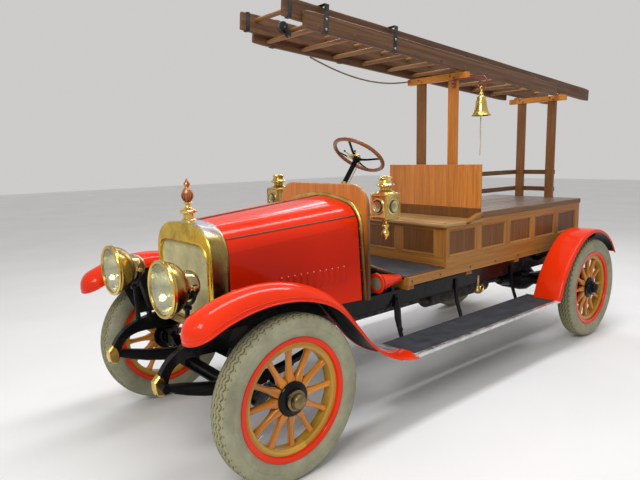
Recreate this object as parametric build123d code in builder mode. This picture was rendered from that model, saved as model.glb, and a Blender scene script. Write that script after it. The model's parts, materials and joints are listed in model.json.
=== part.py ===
from build123d import *
from math import atan2, cos, degrees, radians, sin, sqrt, tan
import os

os.makedirs("parts", exist_ok=True)

# Motor fire engine with wooden spoke wheels, open seat and a ladder on a rack.
# Millimetres. X is the vehicle's left, Y runs to the rear, Z is up from the ground.
# The origin is on the ground under the middle of the whole outline.

# Driving dimensions
FRONT_AXLE = -1939.0
WHEELBASE = 3450.0
REAR_AXLE = FRONT_AXLE + WHEELBASE
TRACK = 1472.0
TYRE_R = 447.5
TYRE_W = 135.0
FRAME_TOP = 750.0
FRAME_DEPTH = 110.0
BODY_HALF = 471.0
SIDES = (("left", 1), ("right", -1))
AXLES = (("front", FRONT_AXLE), ("rear", REAR_AXLE))


def behind(distance):
    """Place along Y, given as the distance behind the front axle."""
    return FRONT_AXLE + distance


def save(piece, name):
    """Label a finished piece and write it to its own file."""
    piece.label = name
    export_step(piece, f"parts/{name}.step")


def both_sides(half):
    """Points of half an outline at positive X, followed round by their mirror images."""
    return (*half, *((-x, height) for x, height in reversed(half) if x > 0))


def mirrored(piece):
    """The same piece on the other side of the vehicle."""
    return mirror(piece, about=Plane.YZ)


# Wheels: tyre, and a wooden artillery wheel in a steel rim with a steel hub
RIM_R = 328.0
RIM_W = 104.0
FELLOE_OUT = 301.0
FELLOE_IN = 268.0
FELLOE_W = 70.0
SPOKES = 12
FLANGE_R = 93.0
HUB_IN = 56.0
HUB_CAP_R = 50.0
HUB_CAP_END = 105.0
SPINDLE_R = 20.0
SPINDLE_GAP = 0.08
SPINDLE_END = 32.0
DRUM_R = 170.0

# Half of the tyre's section: distance from the wheel's middle plane, radius
TYRE_HALF = ((46.0, RIM_R), (TYRE_W / 2, 374.0), (61.0, 419.0), (29.0, TYRE_R))

with BuildPart() as tyre:
    with BuildSketch(Plane.XY):
        with BuildLine():
            Polyline(*both_sides(TYRE_HALF), close=True)
        make_face()
    revolve(axis=Axis.X)


def wheel_piece(with_drum):
    """A wheel about the X axis, its outer face towards +X."""
    with BuildPart() as wheel:
        with BuildSketch(Plane.XY):
            with BuildLine():
                Polyline(
                    (-RIM_W / 2, RIM_R), (RIM_W / 2, RIM_R), (RIM_W / 2, FELLOE_OUT),
                    (FELLOE_W / 2, FELLOE_OUT - 3), (FELLOE_W / 2, FELLOE_IN),
                    (-FELLOE_W / 2, FELLOE_IN), (-FELLOE_W / 2, FELLOE_OUT - 3),
                    (-RIM_W / 2, FELLOE_OUT), close=True,
                )
            make_face()
        revolve(axis=Axis.X)
        with BuildSketch(Plane.XY):
            with BuildLine():
                Polyline(
                    (-HUB_IN, 0), (-HUB_IN, 52), (-38, 58), (-38, FLANGE_R), (-26, FLANGE_R),
                    (26, FLANGE_R), (38, FLANGE_R - 4), (42, 62), (52, 58), (58, HUB_CAP_R),
                    (86, HUB_CAP_R), (HUB_CAP_END, 30), (HUB_CAP_END, 0), close=True,
                )
            make_face()
        revolve(axis=Axis.X)
        for turn in range(SPOKES):
            angle = 360.0 * turn / SPOKES
            foot = Plane(origin=(0, 0, 0), x_dir=(1, 0, 0), z_dir=(0, 0, 1)).rotated((angle, 0, 0))
            with BuildSketch(foot.offset(FLANGE_R - 6)):
                RectangleRounded(50, 44, 10)
            with BuildSketch(foot.offset(FELLOE_IN + 6)):
                RectangleRounded(40, 34, 10)
            loft()
        if with_drum:
            with BuildSketch(Plane.XY):
                with BuildLine():
                    Polyline(
                        (-38, 60), (-38, DRUM_R), (-98, DRUM_R), (-98, DRUM_R - 8),
                        (-46, DRUM_R - 8), (-46, 60), close=True,
                    )
                make_face()
            revolve(axis=Axis.X)
        with Locations(Plane(origin=(-HUB_IN, 0, 0), z_dir=(-1, 0, 0))):
            Hole(SPINDLE_R + SPINDLE_GAP, depth=HUB_IN + SPINDLE_END + 6)
    return wheel.part


front_wheel = wheel_piece(False)
rear_wheel = wheel_piece(True)
for end, axle_y in AXLES:
    for side, sign in SIDES:
        place = Location((sign * TRACK / 2, axle_y, TYRE_R), (0, 0, 0 if sign > 0 else 180))
        wheel = front_wheel if end == "front" else rear_wheel
        save(place * tyre.part, f"tyre_{end}_{side}")
        save(place * wheel, f"wheel_{end}_{side}")

# Chassis frame: two channel rails, cross members and the curved dumb irons
RAIL_T = 6.0
FLANGE_W = 50.0
NOSE_Y = behind(-200)
WAIST_Y = behind(950)
TAIL_Y = behind(3900)
NOSE_HALF = 338.0
WAIST_HALF = 402.0
FRAME_BOTTOM = FRAME_TOP - FRAME_DEPTH
IRON_TIP = (behind(-517), 532.0)
IRON_W = 40.0
IRON_X = 318.0
# Side view of the dumb iron: upper curve to the front, blunt end, lower curve to the rear
IRON_TOP = (
    (behind(-170), FRAME_TOP), (behind(-300), 731.0), (behind(-400), 701.0),
    (behind(-472), 656.0), (behind(-522), 588.0),
)
IRON_END = ((behind(-554), 566.0), (behind(-548), 488.0), (behind(-500), 486.0))
IRON_LOW = (
    (behind(-478), 552.0), (behind(-426), 624.0), (behind(-360), 643.0), (behind(-170), 640.0),
)
FRONT_SPRING_X = 366.0
LEAF_W = 54.0
EYE_TUBE_R = 15.0

DRAW_EYE_R, DRAW_EYE_T = 13.0, 18.0
EYE_Y, EYE_Z = behind(3936), 690.0
# Cross members: distance behind the front axle, section depth
CROSS_MEMBERS = ((-50, 60), (1420, 60), (1700, 80), (2700, 90), (3250, 60), (3870, 98))


def rail_half(y):
    """Outer half-width of the frame at Y."""
    if y >= WAIST_Y:
        return WAIST_HALF
    return NOSE_HALF + (WAIST_HALF - NOSE_HALF) * (y - NOSE_Y) / (WAIST_Y - NOSE_Y)


with BuildPart() as chassis_frame:
    for depth, height, base in (
        (RAIL_T, FRAME_DEPTH, FRAME_BOTTOM),
        (FLANGE_W, RAIL_T, FRAME_BOTTOM),
        (FLANGE_W, RAIL_T, FRAME_TOP - RAIL_T),
    ):
        with BuildSketch(Plane.XY.offset(base)):
            with BuildLine():
                Polyline(
                    (NOSE_HALF, NOSE_Y), (WAIST_HALF, WAIST_Y), (WAIST_HALF, TAIL_Y),
                    (WAIST_HALF - depth, TAIL_Y), (WAIST_HALF - depth, WAIST_Y),
                    (NOSE_HALF - depth, NOSE_Y), close=True,
                )
            make_face()
        extrude(amount=height)
    # Dumb iron: side view from the rail's end down to the blunt tip at the spring eye
    with BuildSketch(Plane.YZ.offset(IRON_X - IRON_W / 2)):
        with BuildLine():
            Spline(*IRON_TOP)
            Polyline(IRON_TOP[-1], *IRON_END, IRON_LOW[0])
            Spline(*IRON_LOW)
            Line(IRON_LOW[-1], IRON_TOP[0])
        make_face()
    extrude(amount=IRON_W)
    # Pin that carries the spring eye
    with Locations(Plane(origin=(IRON_X - IRON_W / 2, *IRON_TIP), z_dir=(1, 0, 0))):
        Cylinder(
            EYE_TUBE_R, FRONT_SPRING_X + LEAF_W / 2 + 8 - IRON_X + IRON_W / 2,
            align=(Align.CENTER, Align.CENTER, Align.MIN),
        )
    mirror(about=Plane.YZ)
    for back, depth in CROSS_MEMBERS:
        y = behind(back)
        with BuildSketch(Plane.XY.offset(FRAME_TOP - RAIL_T - depth)):
            with Locations((0, y)):
                Rectangle(2 * (rail_half(y) - RAIL_T), 50)
        extrude(amount=depth)
    # Draw eye on the rear cross member
    with BuildSketch(Plane.XY.offset(EYE_Z)):
        with Locations((0, EYE_Y)):
            Circle(36)
            Rectangle(72, EYE_Y - behind(3890), align=(Align.CENTER, Align.MAX))
            Circle(DRAW_EYE_R, mode=Mode.SUBTRACT)
    extrude(amount=DRAW_EYE_T)
save(chassis_frame.part, "chassis_frame")

# Leaf springs, stacked from the main leaf down
LEAF_T = 8.0
LEAVES = 7


def leaf_spring(x, y, seat_z, half_length, rise):
    """Semi-elliptic spring with its lowest leaf on the seat at seat_z."""
    radius = half_length ** 2 / (2 * rise)
    for leaf in range(LEAVES):
        reach = half_length * (1 - 0.8 * (LEAVES - 1 - leaf) / (LEAVES - 1))
        low = seat_z + leaf * LEAF_T
        lift = reach ** 2 / (2 * radius)
        with BuildSketch(Plane.YZ.offset(x - LEAF_W / 2)) as leaf_side:
            with BuildLine():
                ThreePointArc((y - reach, low + lift), (y, low), (y + reach, low + lift))
                Line((y + reach, low + lift), (y + reach, low + lift + LEAF_T))
                ThreePointArc(
                    (y + reach, low + lift + LEAF_T), (y, low + LEAF_T),
                    (y - reach, low + lift + LEAF_T),
                )
                Line((y - reach, low + lift + LEAF_T), (y - reach, low + lift))
            make_face()
        extrude(leaf_side.sketch, amount=LEAF_W)


REAR_SPRING_X = 375.0
FRONT_SEAT = 392.0
REAR_SEAT = 506.0
EYE_WALL = 7.0
# Springs: X, Y, seat height, half length, rise of the ends, front eye (Y, Z)
SPRINGS = (
    (FRONT_SPRING_X, FRONT_AXLE, FRONT_SEAT, 496.0, 84.0, IRON_TIP),
    (REAR_SPRING_X, REAR_AXLE, REAR_SEAT, 430.0, 30.0, (REAR_AXLE - 442, 596.0)),
)
with BuildPart() as leaf_springs:
    for x, y, seat, reach, rise, eye in SPRINGS:
        leaf_spring(x, y, seat, reach, rise)
        # Clamp plate on top of the stack
        with Locations((x, y, seat + LEAVES * LEAF_T)):
            Box(LEAF_W + 18, 110, 12, align=(Align.CENTER, Align.CENTER, Align.MIN))
        # Front eye
        with Locations(Plane(origin=(x, *eye), z_dir=(1, 0, 0))):
            Cylinder(EYE_TUBE_R + 0.1 + EYE_WALL, LEAF_W)
            Cylinder(EYE_TUBE_R + 0.1, LEAF_W, mode=Mode.SUBTRACT)
        # Shackle that hangs the rear end from the frame
        end_z = seat + LEAVES * LEAF_T + rise - LEAF_T
        with BuildSketch(Plane.YZ.offset(x - 12)) as shackle:
            with BuildLine():
                Polyline(
                    (y + reach - 30, end_z), (y + reach - 22, FRAME_BOTTOM),
                    (y + reach + 12, FRAME_BOTTOM), (y + reach + 4, end_z), close=True,
                )
            make_face()
        extrude(shackle.sketch, amount=24)
    # Hanger of the rear spring's front eye
    eye = SPRINGS[1][5]
    with Locations((REAR_SPRING_X, eye[0], (eye[1] + FRAME_BOTTOM) / 2 + 9)):
        Box(30, 44, FRAME_BOTTOM - eye[1] - 18)
    with Locations(Plane(origin=(REAR_SPRING_X, *eye), z_dir=(1, 0, 0))):
        Cylinder(EYE_TUBE_R, LEAF_W)
    mirror(about=Plane.YZ)
save(leaf_springs.part, "leaf_springs")

# Front axle beam, with eyes for the king pins
PIN_X = 612.0
PIN_R = 14.0
PIN_GAP = 0.08
EYE_R = 31.0
EYE_LOW, EYE_TOP = 411.0, 484.0
with BuildPart() as front_axle:
    with BuildSketch(Plane.XZ.offset(-FRONT_AXLE - 30)):
        with BuildLine():
            half = (
                (0, 300), (450, 306), (PIN_X - 50, 410), (PIN_X, 417), (PIN_X, 478),
                (PIN_X - 60, 474), (430, 370), (0, 360),
            )
            Polyline(*both_sides(half), close=True)
        make_face()
    extrude(amount=60)
    for face in (-1, 1):
        with BuildSketch(Plane.XZ.offset(-FRONT_AXLE + face * 30)):
            with BuildLine():
                inner = ((0, 312), (444, 318), (535, 412), (535, 440), (424, 358), (0, 348))
                Polyline(*both_sides(inner), close=True)
            make_face()
        extrude(amount=-face * 20, mode=Mode.SUBTRACT)
    for sign in (1, -1):
        with Locations((sign * FRONT_SPRING_X, FRONT_AXLE, FRONT_SEAT)):
            Box(LEAF_W + 14, 110, 56, align=(Align.CENTER, Align.CENTER, Align.MAX))
        with Locations((sign * PIN_X, FRONT_AXLE, EYE_LOW)):
            Cylinder(EYE_R, EYE_TOP - EYE_LOW, align=(Align.CENTER, Align.CENTER, Align.MIN))
    for sign in (1, -1):
        with Locations((sign * PIN_X, FRONT_AXLE, EYE_LOW)):
            Cylinder(
                PIN_R + PIN_GAP, EYE_TOP - EYE_LOW, mode=Mode.SUBTRACT,
                align=(Align.CENTER, Align.CENTER, Align.MIN),
            )
save(front_axle.part, "front_axle")

# Steering knuckles: yoke round the axle's eye, king pin, spindle and arm
LUG_T = 16.0
LUG_GAP = 2.0
ARM_BACK = 190.0
ROD_PIN_R = 9.0
ROD_Z = 374.0
HUB_FACE = TRACK / 2 - HUB_IN
LUG_LOW = EYE_LOW - LUG_GAP - LUG_T
with BuildPart() as knuckle:
    for base in (LUG_LOW, EYE_TOP + LUG_GAP):
        with BuildSketch(Plane.XY.offset(base)):
            with Locations((PIN_X, FRONT_AXLE)):
                Circle(EYE_R)
            with Locations((PIN_X, FRONT_AXLE)):
                Rectangle(58, 2 * EYE_R, align=(Align.MIN, Align.CENTER))
        extrude(amount=LUG_T)
    with Locations((PIN_X + EYE_R + 5, FRONT_AXLE, LUG_LOW)):
        Box(
            22, 2 * EYE_R, EYE_TOP + LUG_GAP + LUG_T - LUG_LOW,
            align=(Align.MIN, Align.CENTER, Align.MIN),
        )
    with Locations((PIN_X, FRONT_AXLE, LUG_LOW)):
        Cylinder(
            PIN_R, EYE_TOP + LUG_GAP + LUG_T - LUG_LOW,
            align=(Align.CENTER, Align.CENTER, Align.MIN),
        )
    with Locations(Plane(origin=(PIN_X + EYE_R + 20, FRONT_AXLE, TYRE_R), z_dir=(1, 0, 0))):
        Cylinder(
            SPINDLE_R, TRACK / 2 + SPINDLE_END - PIN_X - EYE_R - 20,
            align=(Align.CENTER, Align.CENTER, Align.MIN),
        )
        Cylinder(
            36, HUB_FACE - 3 - PIN_X - EYE_R - 20, align=(Align.CENTER, Align.CENTER, Align.MIN),
        )
    with BuildSketch(Plane.XY.offset(LUG_LOW)):
        with BuildLine():
            Polyline(
                (PIN_X - 22, FRONT_AXLE + 10), (PIN_X + 22, FRONT_AXLE + 10),
                (PIN_X + 18, FRONT_AXLE + ARM_BACK), (PIN_X - 18, FRONT_AXLE + ARM_BACK),
                close=True,
            )
        make_face()
        with Locations((PIN_X, FRONT_AXLE + ARM_BACK)):
            Circle(18)
    extrude(amount=LUG_T)
    with Locations((PIN_X, FRONT_AXLE + ARM_BACK, LUG_LOW)):
        Cylinder(
            ROD_PIN_R, LUG_LOW - ROD_Z + 13, align=(Align.CENTER, Align.CENTER, Align.MAX),
        )
save(knuckle.part, "knuckle_left")
save(mirrored(knuckle.part), "knuckle_right")

# Tie rod behind the axle; the right eye is the opened pivot of the linkage
OPEN_EYE_GAP = 1.5
with BuildPart() as tie_rod:
    with Locations(Plane(origin=(-PIN_X, FRONT_AXLE + ARM_BACK, ROD_Z), z_dir=(1, 0, 0))):
        Cylinder(12, 2 * PIN_X, align=(Align.CENTER, Align.CENTER, Align.MIN))
    for sign, gap in ((1, PIN_GAP), (-1, OPEN_EYE_GAP)):
        with Locations((sign * PIN_X, FRONT_AXLE + ARM_BACK, ROD_Z)):
            Cylinder(20, 26)
    for sign, gap in ((1, PIN_GAP), (-1, OPEN_EYE_GAP)):
        with Locations((sign * PIN_X, FRONT_AXLE + ARM_BACK, ROD_Z)):
            Cylinder(ROD_PIN_R + gap, 26, mode=Mode.SUBTRACT)
save(tie_rod.part, "tie_rod")

# Rear axle: banjo housing with tubes, spring seats, backing plates and spindles
PLATE_X = TRACK / 2 - 104.0
with BuildPart() as rear_axle:
    with BuildSketch(Plane.XY):
        with BuildLine():
            axle_half = (
                (90, 132), (150, 118), (225, 56), (590, 46), (PLATE_X - 8, 58),
                (PLATE_X - 8, 150), (PLATE_X, 150), (PLATE_X, 34),
                (HUB_FACE - 3, 34), (HUB_FACE - 3, SPINDLE_R), (TRACK / 2 + SPINDLE_END, SPINDLE_R),
                (TRACK / 2 + SPINDLE_END, 0),
            )
            Polyline(*both_sides(axle_half), close=True)
        make_face()
    revolve(axis=Axis.X)
    # Nose that takes the propeller shaft
    with BuildSketch(Plane.XZ.offset(60)):
        Circle(92)
    with BuildSketch(Plane.XZ.offset(270)):
        Circle(52)
    loft()
    for sign in (1, -1):
        with Locations((sign * REAR_SPRING_X, 0, REAR_SEAT - TYRE_R)):
            Box(LEAF_W + 14, 120, 60, align=(Align.CENTER, Align.CENTER, Align.MAX))
rear_axle_place = Location((0, REAR_AXLE, TYRE_R))
save(rear_axle_place * rear_axle.part, "rear_axle")

# Engine as one plain block, and the driveline behind it
with BuildPart() as engine_block:
    with Locations((0, behind(330), 590)):
        Box(300, 700, 560, align=(Align.CENTER, Align.CENTER, Align.MIN))
save(engine_block.part, "engine_block")

GEARBOX_Z = 680.0
SHAFT_FRONT = (behind(1345), 650.0)
SHAFT_REAR = (REAR_AXLE - 268, TYRE_R)
with BuildPart() as driveline:
    with BuildSketch(Plane.XZ.offset(-behind(680))):
        with Locations((0, GEARBOX_Z)):
            RectangleRounded(290, 150, 40)
    with BuildSketch(Plane.XZ.offset(-behind(870))):
        with Locations((0, GEARBOX_Z - 10)):
            RectangleRounded(220, 130, 40)
    loft()
    with BuildSketch(Plane.XZ.offset(-behind(865))):
        with Locations((0, GEARBOX_Z - 20)):
            RectangleRounded(240, 150, 24)
    extrude(amount=-400)
    with BuildSketch(Plane.XZ.offset(-behind(1260))):
        with Locations((0, SHAFT_FRONT[1])):
            Circle(55)
    extrude(amount=-85)
    # Arms that reach the webs of the rails
    with Locations((0, behind(1000), 712)):
        Box(2 * (WAIST_HALF - RAIL_T), 50, 36)
    shaft_line = Vector(0, SHAFT_REAR[0] - SHAFT_FRONT[0], SHAFT_REAR[1] - SHAFT_FRONT[1])
    with Locations(Plane(origin=(0, *SHAFT_FRONT), x_dir=(1, 0, 0), z_dir=shaft_line)):
        Cylinder(28, shaft_line.length, align=(Align.CENTER, Align.CENTER, Align.MIN))
    add(rear_axle_place * rear_axle.part, mode=Mode.SUBTRACT)
save(driveline.part, "driveline")

# Silencer and its pipes under the left of the frame
SILENCER = (215.0, 560.0)
with BuildPart() as silencer:
    with Locations(Plane(origin=(SILENCER[0], behind(1750), SILENCER[1]), z_dir=(0, 1, 0))):
        Cylinder(75, 800, align=(Align.CENTER, Align.CENTER, Align.MIN))
    with Locations(Plane(origin=(SILENCER[0], behind(840), SILENCER[1]), z_dir=(0, 1, 0))):
        Cylinder(25, 920, align=(Align.CENTER, Align.CENTER, Align.MIN))
    for back in (1300, 2000):
        with Locations((SILENCER[0], behind(back), FRAME_TOP)):
            Box(24, 24, FRAME_TOP - SILENCER[1] - 20, align=(Align.CENTER, Align.CENTER, Align.MAX))
save(silencer.part, "silencer")

# Pressed tray under the engine
TRAY_T = 3.0
# Ends of the tray: distance behind the front axle, half-width at the lips
TRAY_ENDS = ((-60, 318.0), (820, 372.0))
with BuildPart() as undertray:
    for back, lip in TRAY_ENDS:
        rim, low = FRAME_BOTTOM, 540.0
        wall = lip - 36
        half = (
            (0, low), (210, low), (wall + 2, rim - TRAY_T), (lip, rim - TRAY_T),
            (lip, rim), (wall, rim), (208, low + TRAY_T), (0, low + TRAY_T),
        )
        with BuildSketch(Plane.XZ.offset(-behind(back))):
            with BuildLine():
                Polyline(*both_sides(half), close=True)
            make_face()
    loft(ruled=True)
save(undertray.part, "undertray")

# Radiator: brass shell round a core, with a filler cap and a turned finial
RAD_FRONT = behind(-195)
RAD_DEPTH = 110.0
RAD_HALF = 331.0
RAD_LOW, RAD_TOP = FRAME_TOP, 1336.0
APRON_HALF, APRON_LOW = 280.0, 700.0
CORE_HALF = 289.0
CORE_LOW, CORE_TOP = 770.0, 1214.0
CORE_CORNER = 95.0
# Right half of the shell's top: middle, end of the crown, shoulder, top of the side
RAD_CROWN = ((0.0, RAD_TOP), (165.0, 1323.0), (276.0, 1275.0), (RAD_HALF, 1168.0))


def arch_face(half, low, top, corner):
    """Upright outline with rounded upper corners, in the current sketch."""
    with BuildLine() as outline:
        Polyline((-half, top - corner), (-half, low), (half, low), (half, top - corner))
        RadiusArc((half, top - corner), (half - corner, top), -corner)
        Line((half - corner, top), (-half + corner, top))
        RadiusArc((-half + corner, top), (-half, top - corner), -corner)
    make_face(outline.edges())


with BuildPart() as radiator_shell:
    with BuildSketch(Plane.XZ.offset(-RAD_FRONT)):
        with BuildLine():
            crown, bend, shoulder, side = RAD_CROWN
            ThreePointArc((-bend[0], bend[1]), crown, bend)
            ThreePointArc(bend, shoulder, side)
            Polyline(side, (RAD_HALF, RAD_LOW), (-RAD_HALF, RAD_LOW), (-side[0], side[1]))
            ThreePointArc((-side[0], side[1]), (-shoulder[0], shoulder[1]), (-bend[0], bend[1]))
        make_face()
    extrude(amount=-RAD_DEPTH)
    with BuildSketch(Plane.XZ.offset(-RAD_FRONT)):
        arch_face(CORE_HALF, CORE_LOW, CORE_TOP, CORE_CORNER)
    extrude(amount=-RAD_DEPTH, mode=Mode.SUBTRACT)
    # Bottom tank, sunk between the rails
    with Locations((0, RAD_FRONT + RAD_DEPTH / 2, RAD_LOW)):
        Box(2 * APRON_HALF, RAD_DEPTH, RAD_LOW - APRON_LOW, align=(Align.CENTER, Align.CENTER, Align.MAX))
save(radiator_shell.part, "radiator_shell")

with BuildPart() as radiator_core:
    with BuildSketch(Plane.XZ.offset(-RAD_FRONT - 16)):
        arch_face(CORE_HALF, CORE_LOW, CORE_TOP, CORE_CORNER)
    extrude(amount=-RAD_DEPTH + 26)
save(radiator_core.part, "radiator_core")

with BuildPart() as radiator_cap:
    with BuildSketch(Plane.XZ):
        with BuildLine():
            Polyline(
                (0, 0), (40, 0), (40, 8), (30, 12), (30, 42), (48, 48), (48, 60), (34, 68),
                (16, 78), (14, 96), (24, 102), (14, 108),
            )
            ThreePointArc((14, 108), (32, 150), (14, 196))
            Polyline((14, 196), (4, 243), (0, 243), (0, 0))
        make_face()
    revolve(axis=Axis.Z)
save(Location((0, RAD_FRONT + RAD_DEPTH / 2, RAD_TOP)) * radiator_cap.part, "radiator_cap")

# Hood: two halves on a hinge rod along the ridge
HOOD_FRONT = behind(-80)
HOOD_BACK = behind(844)
HOOD_T = 3.0
HINGE_R = 6.0
HINGE_CLEAR = 9.0
HOOD_LOW = 755.0


def hood_path(ridge, crown, bend, shoulder, flank, inset):
    """Half of a hood section: crowned top, rounded shoulder and flat side, moved in by inset."""
    return (
        (HINGE_CLEAR, ridge - inset), (crown[0], crown[1] - inset),
        (bend[0] - inset * 0.4, bend[1] - inset * 0.9),
        (shoulder[0] - inset * 0.7, shoulder[1] - inset * 0.7), (flank[0] - inset, flank[1]),
        (flank[2] - inset, HOOD_LOW),
    )


# Sections: place, ridge height, crown, bend, shoulder, side (X at top, Z at top, X at bottom)
HOOD_SECTIONS = (
    (HOOD_FRONT, 1334.0, (88.0, 1330.0), (163.0, 1319.0), (273.0, 1271.0), (328.0, 1168.0, 330.0)),
    (HOOD_BACK, 1420.0, (140.0, 1412.0), (262.0, 1387.0), (353.0, 1340.0), (400.0, 1250.0, 432.0)),
)

with BuildPart() as hood_half:
    for y, *shape in HOOD_SECTIONS:
        outer = hood_path(*shape, 0)
        inner = hood_path(*shape, HOOD_T)
        with BuildSketch(Plane.XZ.offset(-y)):
            with BuildLine():
                ThreePointArc(outer[0], outer[1], outer[2])
                ThreePointArc(outer[2], outer[3], outer[4])
                Polyline(outer[4], outer[5], inner[5], inner[4])
                ThreePointArc(inner[4], inner[3], inner[2])
                ThreePointArc(inner[2], inner[1], inner[0])
                Line(inner[0], outer[0])
            make_face()
    loft(ruled=True)
save(hood_half.part, "hood_left")
save(mirrored(hood_half.part), "hood_right")

ridge_line = Vector(0, HOOD_BACK - HOOD_FRONT, HOOD_SECTIONS[1][1] - HOOD_SECTIONS[0][1])
hinge_start = Vector(0, HOOD_FRONT, HOOD_SECTIONS[0][1])
hinge_dir = ridge_line.normalized()

# Dash board of varnished wood, and the brass moulding that the hood closes on
DASH_Y = behind(872)
MOULDING_Y = behind(850)
DASH_T = 25.0
DASH_TOP = 1503.0
COLUMN_AXIS = Vector(0, 0.6, 0.8)
WHEEL_HUB = Vector(-280, behind(1530), 1690)
COLUMN_R = 22.0

with BuildPart() as dash_board:
    with BuildSketch(Plane.XZ.offset(-DASH_Y)):
        arch_face(461, FRAME_TOP, DASH_TOP, 150)
    extrude(amount=-DASH_T)
    with Locations(Plane(origin=WHEEL_HUB - COLUMN_AXIS * 1200, z_dir=COLUMN_AXIS)):
        Cylinder(
            COLUMN_R + 3, 1100, mode=Mode.SUBTRACT,
            align=(Align.CENTER, Align.CENTER, Align.MIN),
        )
save(dash_board.part, "dash_board")


def hood_arch(grow, mode=Mode.ADD):
    """Closed outline of the hood's rear section, grown outwards, in the current sketch."""
    points = hood_path(*HOOD_SECTIONS[1][1:], -grow)
    ridge, crown, bend, shoulder, side, low = points
    with BuildLine() as outline:
        ThreePointArc((-bend[0], bend[1]), (0, ridge[1]), bend)
        ThreePointArc(bend, shoulder, side)
        Polyline(side, (low[0], FRAME_TOP), (-low[0], FRAME_TOP), (-side[0], side[1]))
        ThreePointArc((-side[0], side[1]), (-shoulder[0], shoulder[1]), (-bend[0], bend[1]))
    make_face(outline.edges(), mode=mode)


with BuildPart() as dash_moulding:
    with BuildSketch(Plane.XZ.offset(-MOULDING_Y)):
        hood_arch(22)
        hood_arch(-16, Mode.SUBTRACT)
    extrude(amount=-(DASH_Y - MOULDING_Y))
    # Hinge rod of the hood, from the radiator to the moulding
    with Locations(Plane(origin=hinge_start - hinge_dir * 12, x_dir=(1, 0, 0), z_dir=hinge_dir)):
        Cylinder(HINGE_R, ridge_line.length + 26, align=(Align.CENTER, Align.CENTER, Align.MIN))
    add(radiator_shell.part, mode=Mode.SUBTRACT)
save(dash_moulding.part, "dash_moulding")

# Side lamps on the dash board's edges
LAMP_X = 560.0
LAMP_Y = behind(931)
LAMP_Z = 1372.0
LAMP_W = 140.0
LAMP_H = 165.0
# Chimney and roof tiers above the body: radius, height
LAMP_TOP = ((58, 0), (48, 12), (34, 16), (34, 34), (60, 42), (60, 52), (40, 78), (44, 92), (20, 104))
LAMP_FOOT = ((36, 0), (22, 12), (12, 24), (20, 44), (12, 62), (22, 96), (14, 130))
with BuildPart() as side_lamp:
    with BuildSketch(Plane.XY.offset(LAMP_Z - LAMP_H / 2)):
        with Locations((LAMP_X, LAMP_Y)):
            RectangleRounded(LAMP_W, LAMP_W, 18)
    extrude(amount=LAMP_H)
    for profile, base, direction in (
        (LAMP_TOP, LAMP_Z + LAMP_H / 2, 1), (LAMP_FOOT, LAMP_Z - LAMP_H / 2, -1),
    ):
        with BuildSketch(Plane(origin=(LAMP_X, LAMP_Y, base), x_dir=(1, 0, 0), z_dir=(0, -1, 0))):
            with BuildLine():
                outline = [(r, direction * z) for r, z in profile]
                Polyline((0, 0), *outline, (0, outline[-1][1]), close=True)
            make_face()
        revolve(axis=Axis((LAMP_X, LAMP_Y, base), (0, 0, 1)))
    # Round windows: bullseye in front, plain glass at the side
    with Locations(
        Plane(origin=(LAMP_X, LAMP_Y - LAMP_W / 2 + 1, LAMP_Z), z_dir=(0, -1, 0)),
        Plane(origin=(LAMP_X + LAMP_W / 2 - 1, LAMP_Y, LAMP_Z), z_dir=(1, 0, 0)),
    ):
        Cylinder(46, 7, align=(Align.CENTER, Align.CENTER, Align.MIN))
    # Arm to the back of the dash board
    with Locations((415, DASH_Y + DASH_T, LAMP_Z - 60)):
        Box(LAMP_X - LAMP_W / 2 - 415 + 4, 18, 34, align=(Align.MIN, Align.MIN, Align.CENTER))
with BuildPart() as side_lamps:
    add(side_lamp.part)
    mirror(about=Plane.YZ)
save(side_lamps.part, "side_lamps")

# Headlamps: hollow reflector bells with a drum behind, on forked brackets
HEAD_X = 341.0
HEAD_Z = 1041.0
HEAD_FRONT = behind(-497)
# Outside then inside of the bell: radius, distance behind the front
BELL_OUT = ((151, 0), (151, 20), (142, 26))
BELL_IN = ((135, 24), (135, 0))
with BuildPart() as headlamp:
    with BuildSketch(Plane(origin=(HEAD_X, HEAD_FRONT, HEAD_Z), x_dir=(1, 0, 0), z_dir=(0, 0, 1))):
        with BuildLine():
            Polyline(*BELL_OUT)
            ThreePointArc((142, 26), (121, 86), (78, 124))
            Polyline((78, 124), (78, 162))
            ThreePointArc((78, 162), (60, 196), (14, 212))
            Polyline((14, 212), (0, 212), (0, 132), (20, 131))
            ThreePointArc((20, 131), (96, 94), (135, 24))
            Polyline(*BELL_IN, BELL_OUT[0])
        make_face()
    revolve(axis=Axis((HEAD_X, HEAD_FRONT, HEAD_Z), (0, 1, 0)))
with BuildPart() as headlamps:
    add(headlamp.part)
    mirror(about=Plane.YZ)
save(headlamps.part, "headlamps")

with BuildPart() as headlamp_glasses:
    for sign in (1, -1):
        with Locations(
            Plane(origin=(sign * HEAD_X, HEAD_FRONT + 6, HEAD_Z), z_dir=(0, 1, 0))
        ):
            Cylinder(135, 5, align=(Align.CENTER, Align.CENTER, Align.MIN))
save(headlamp_glasses.part, "headlamp_glasses")

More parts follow.
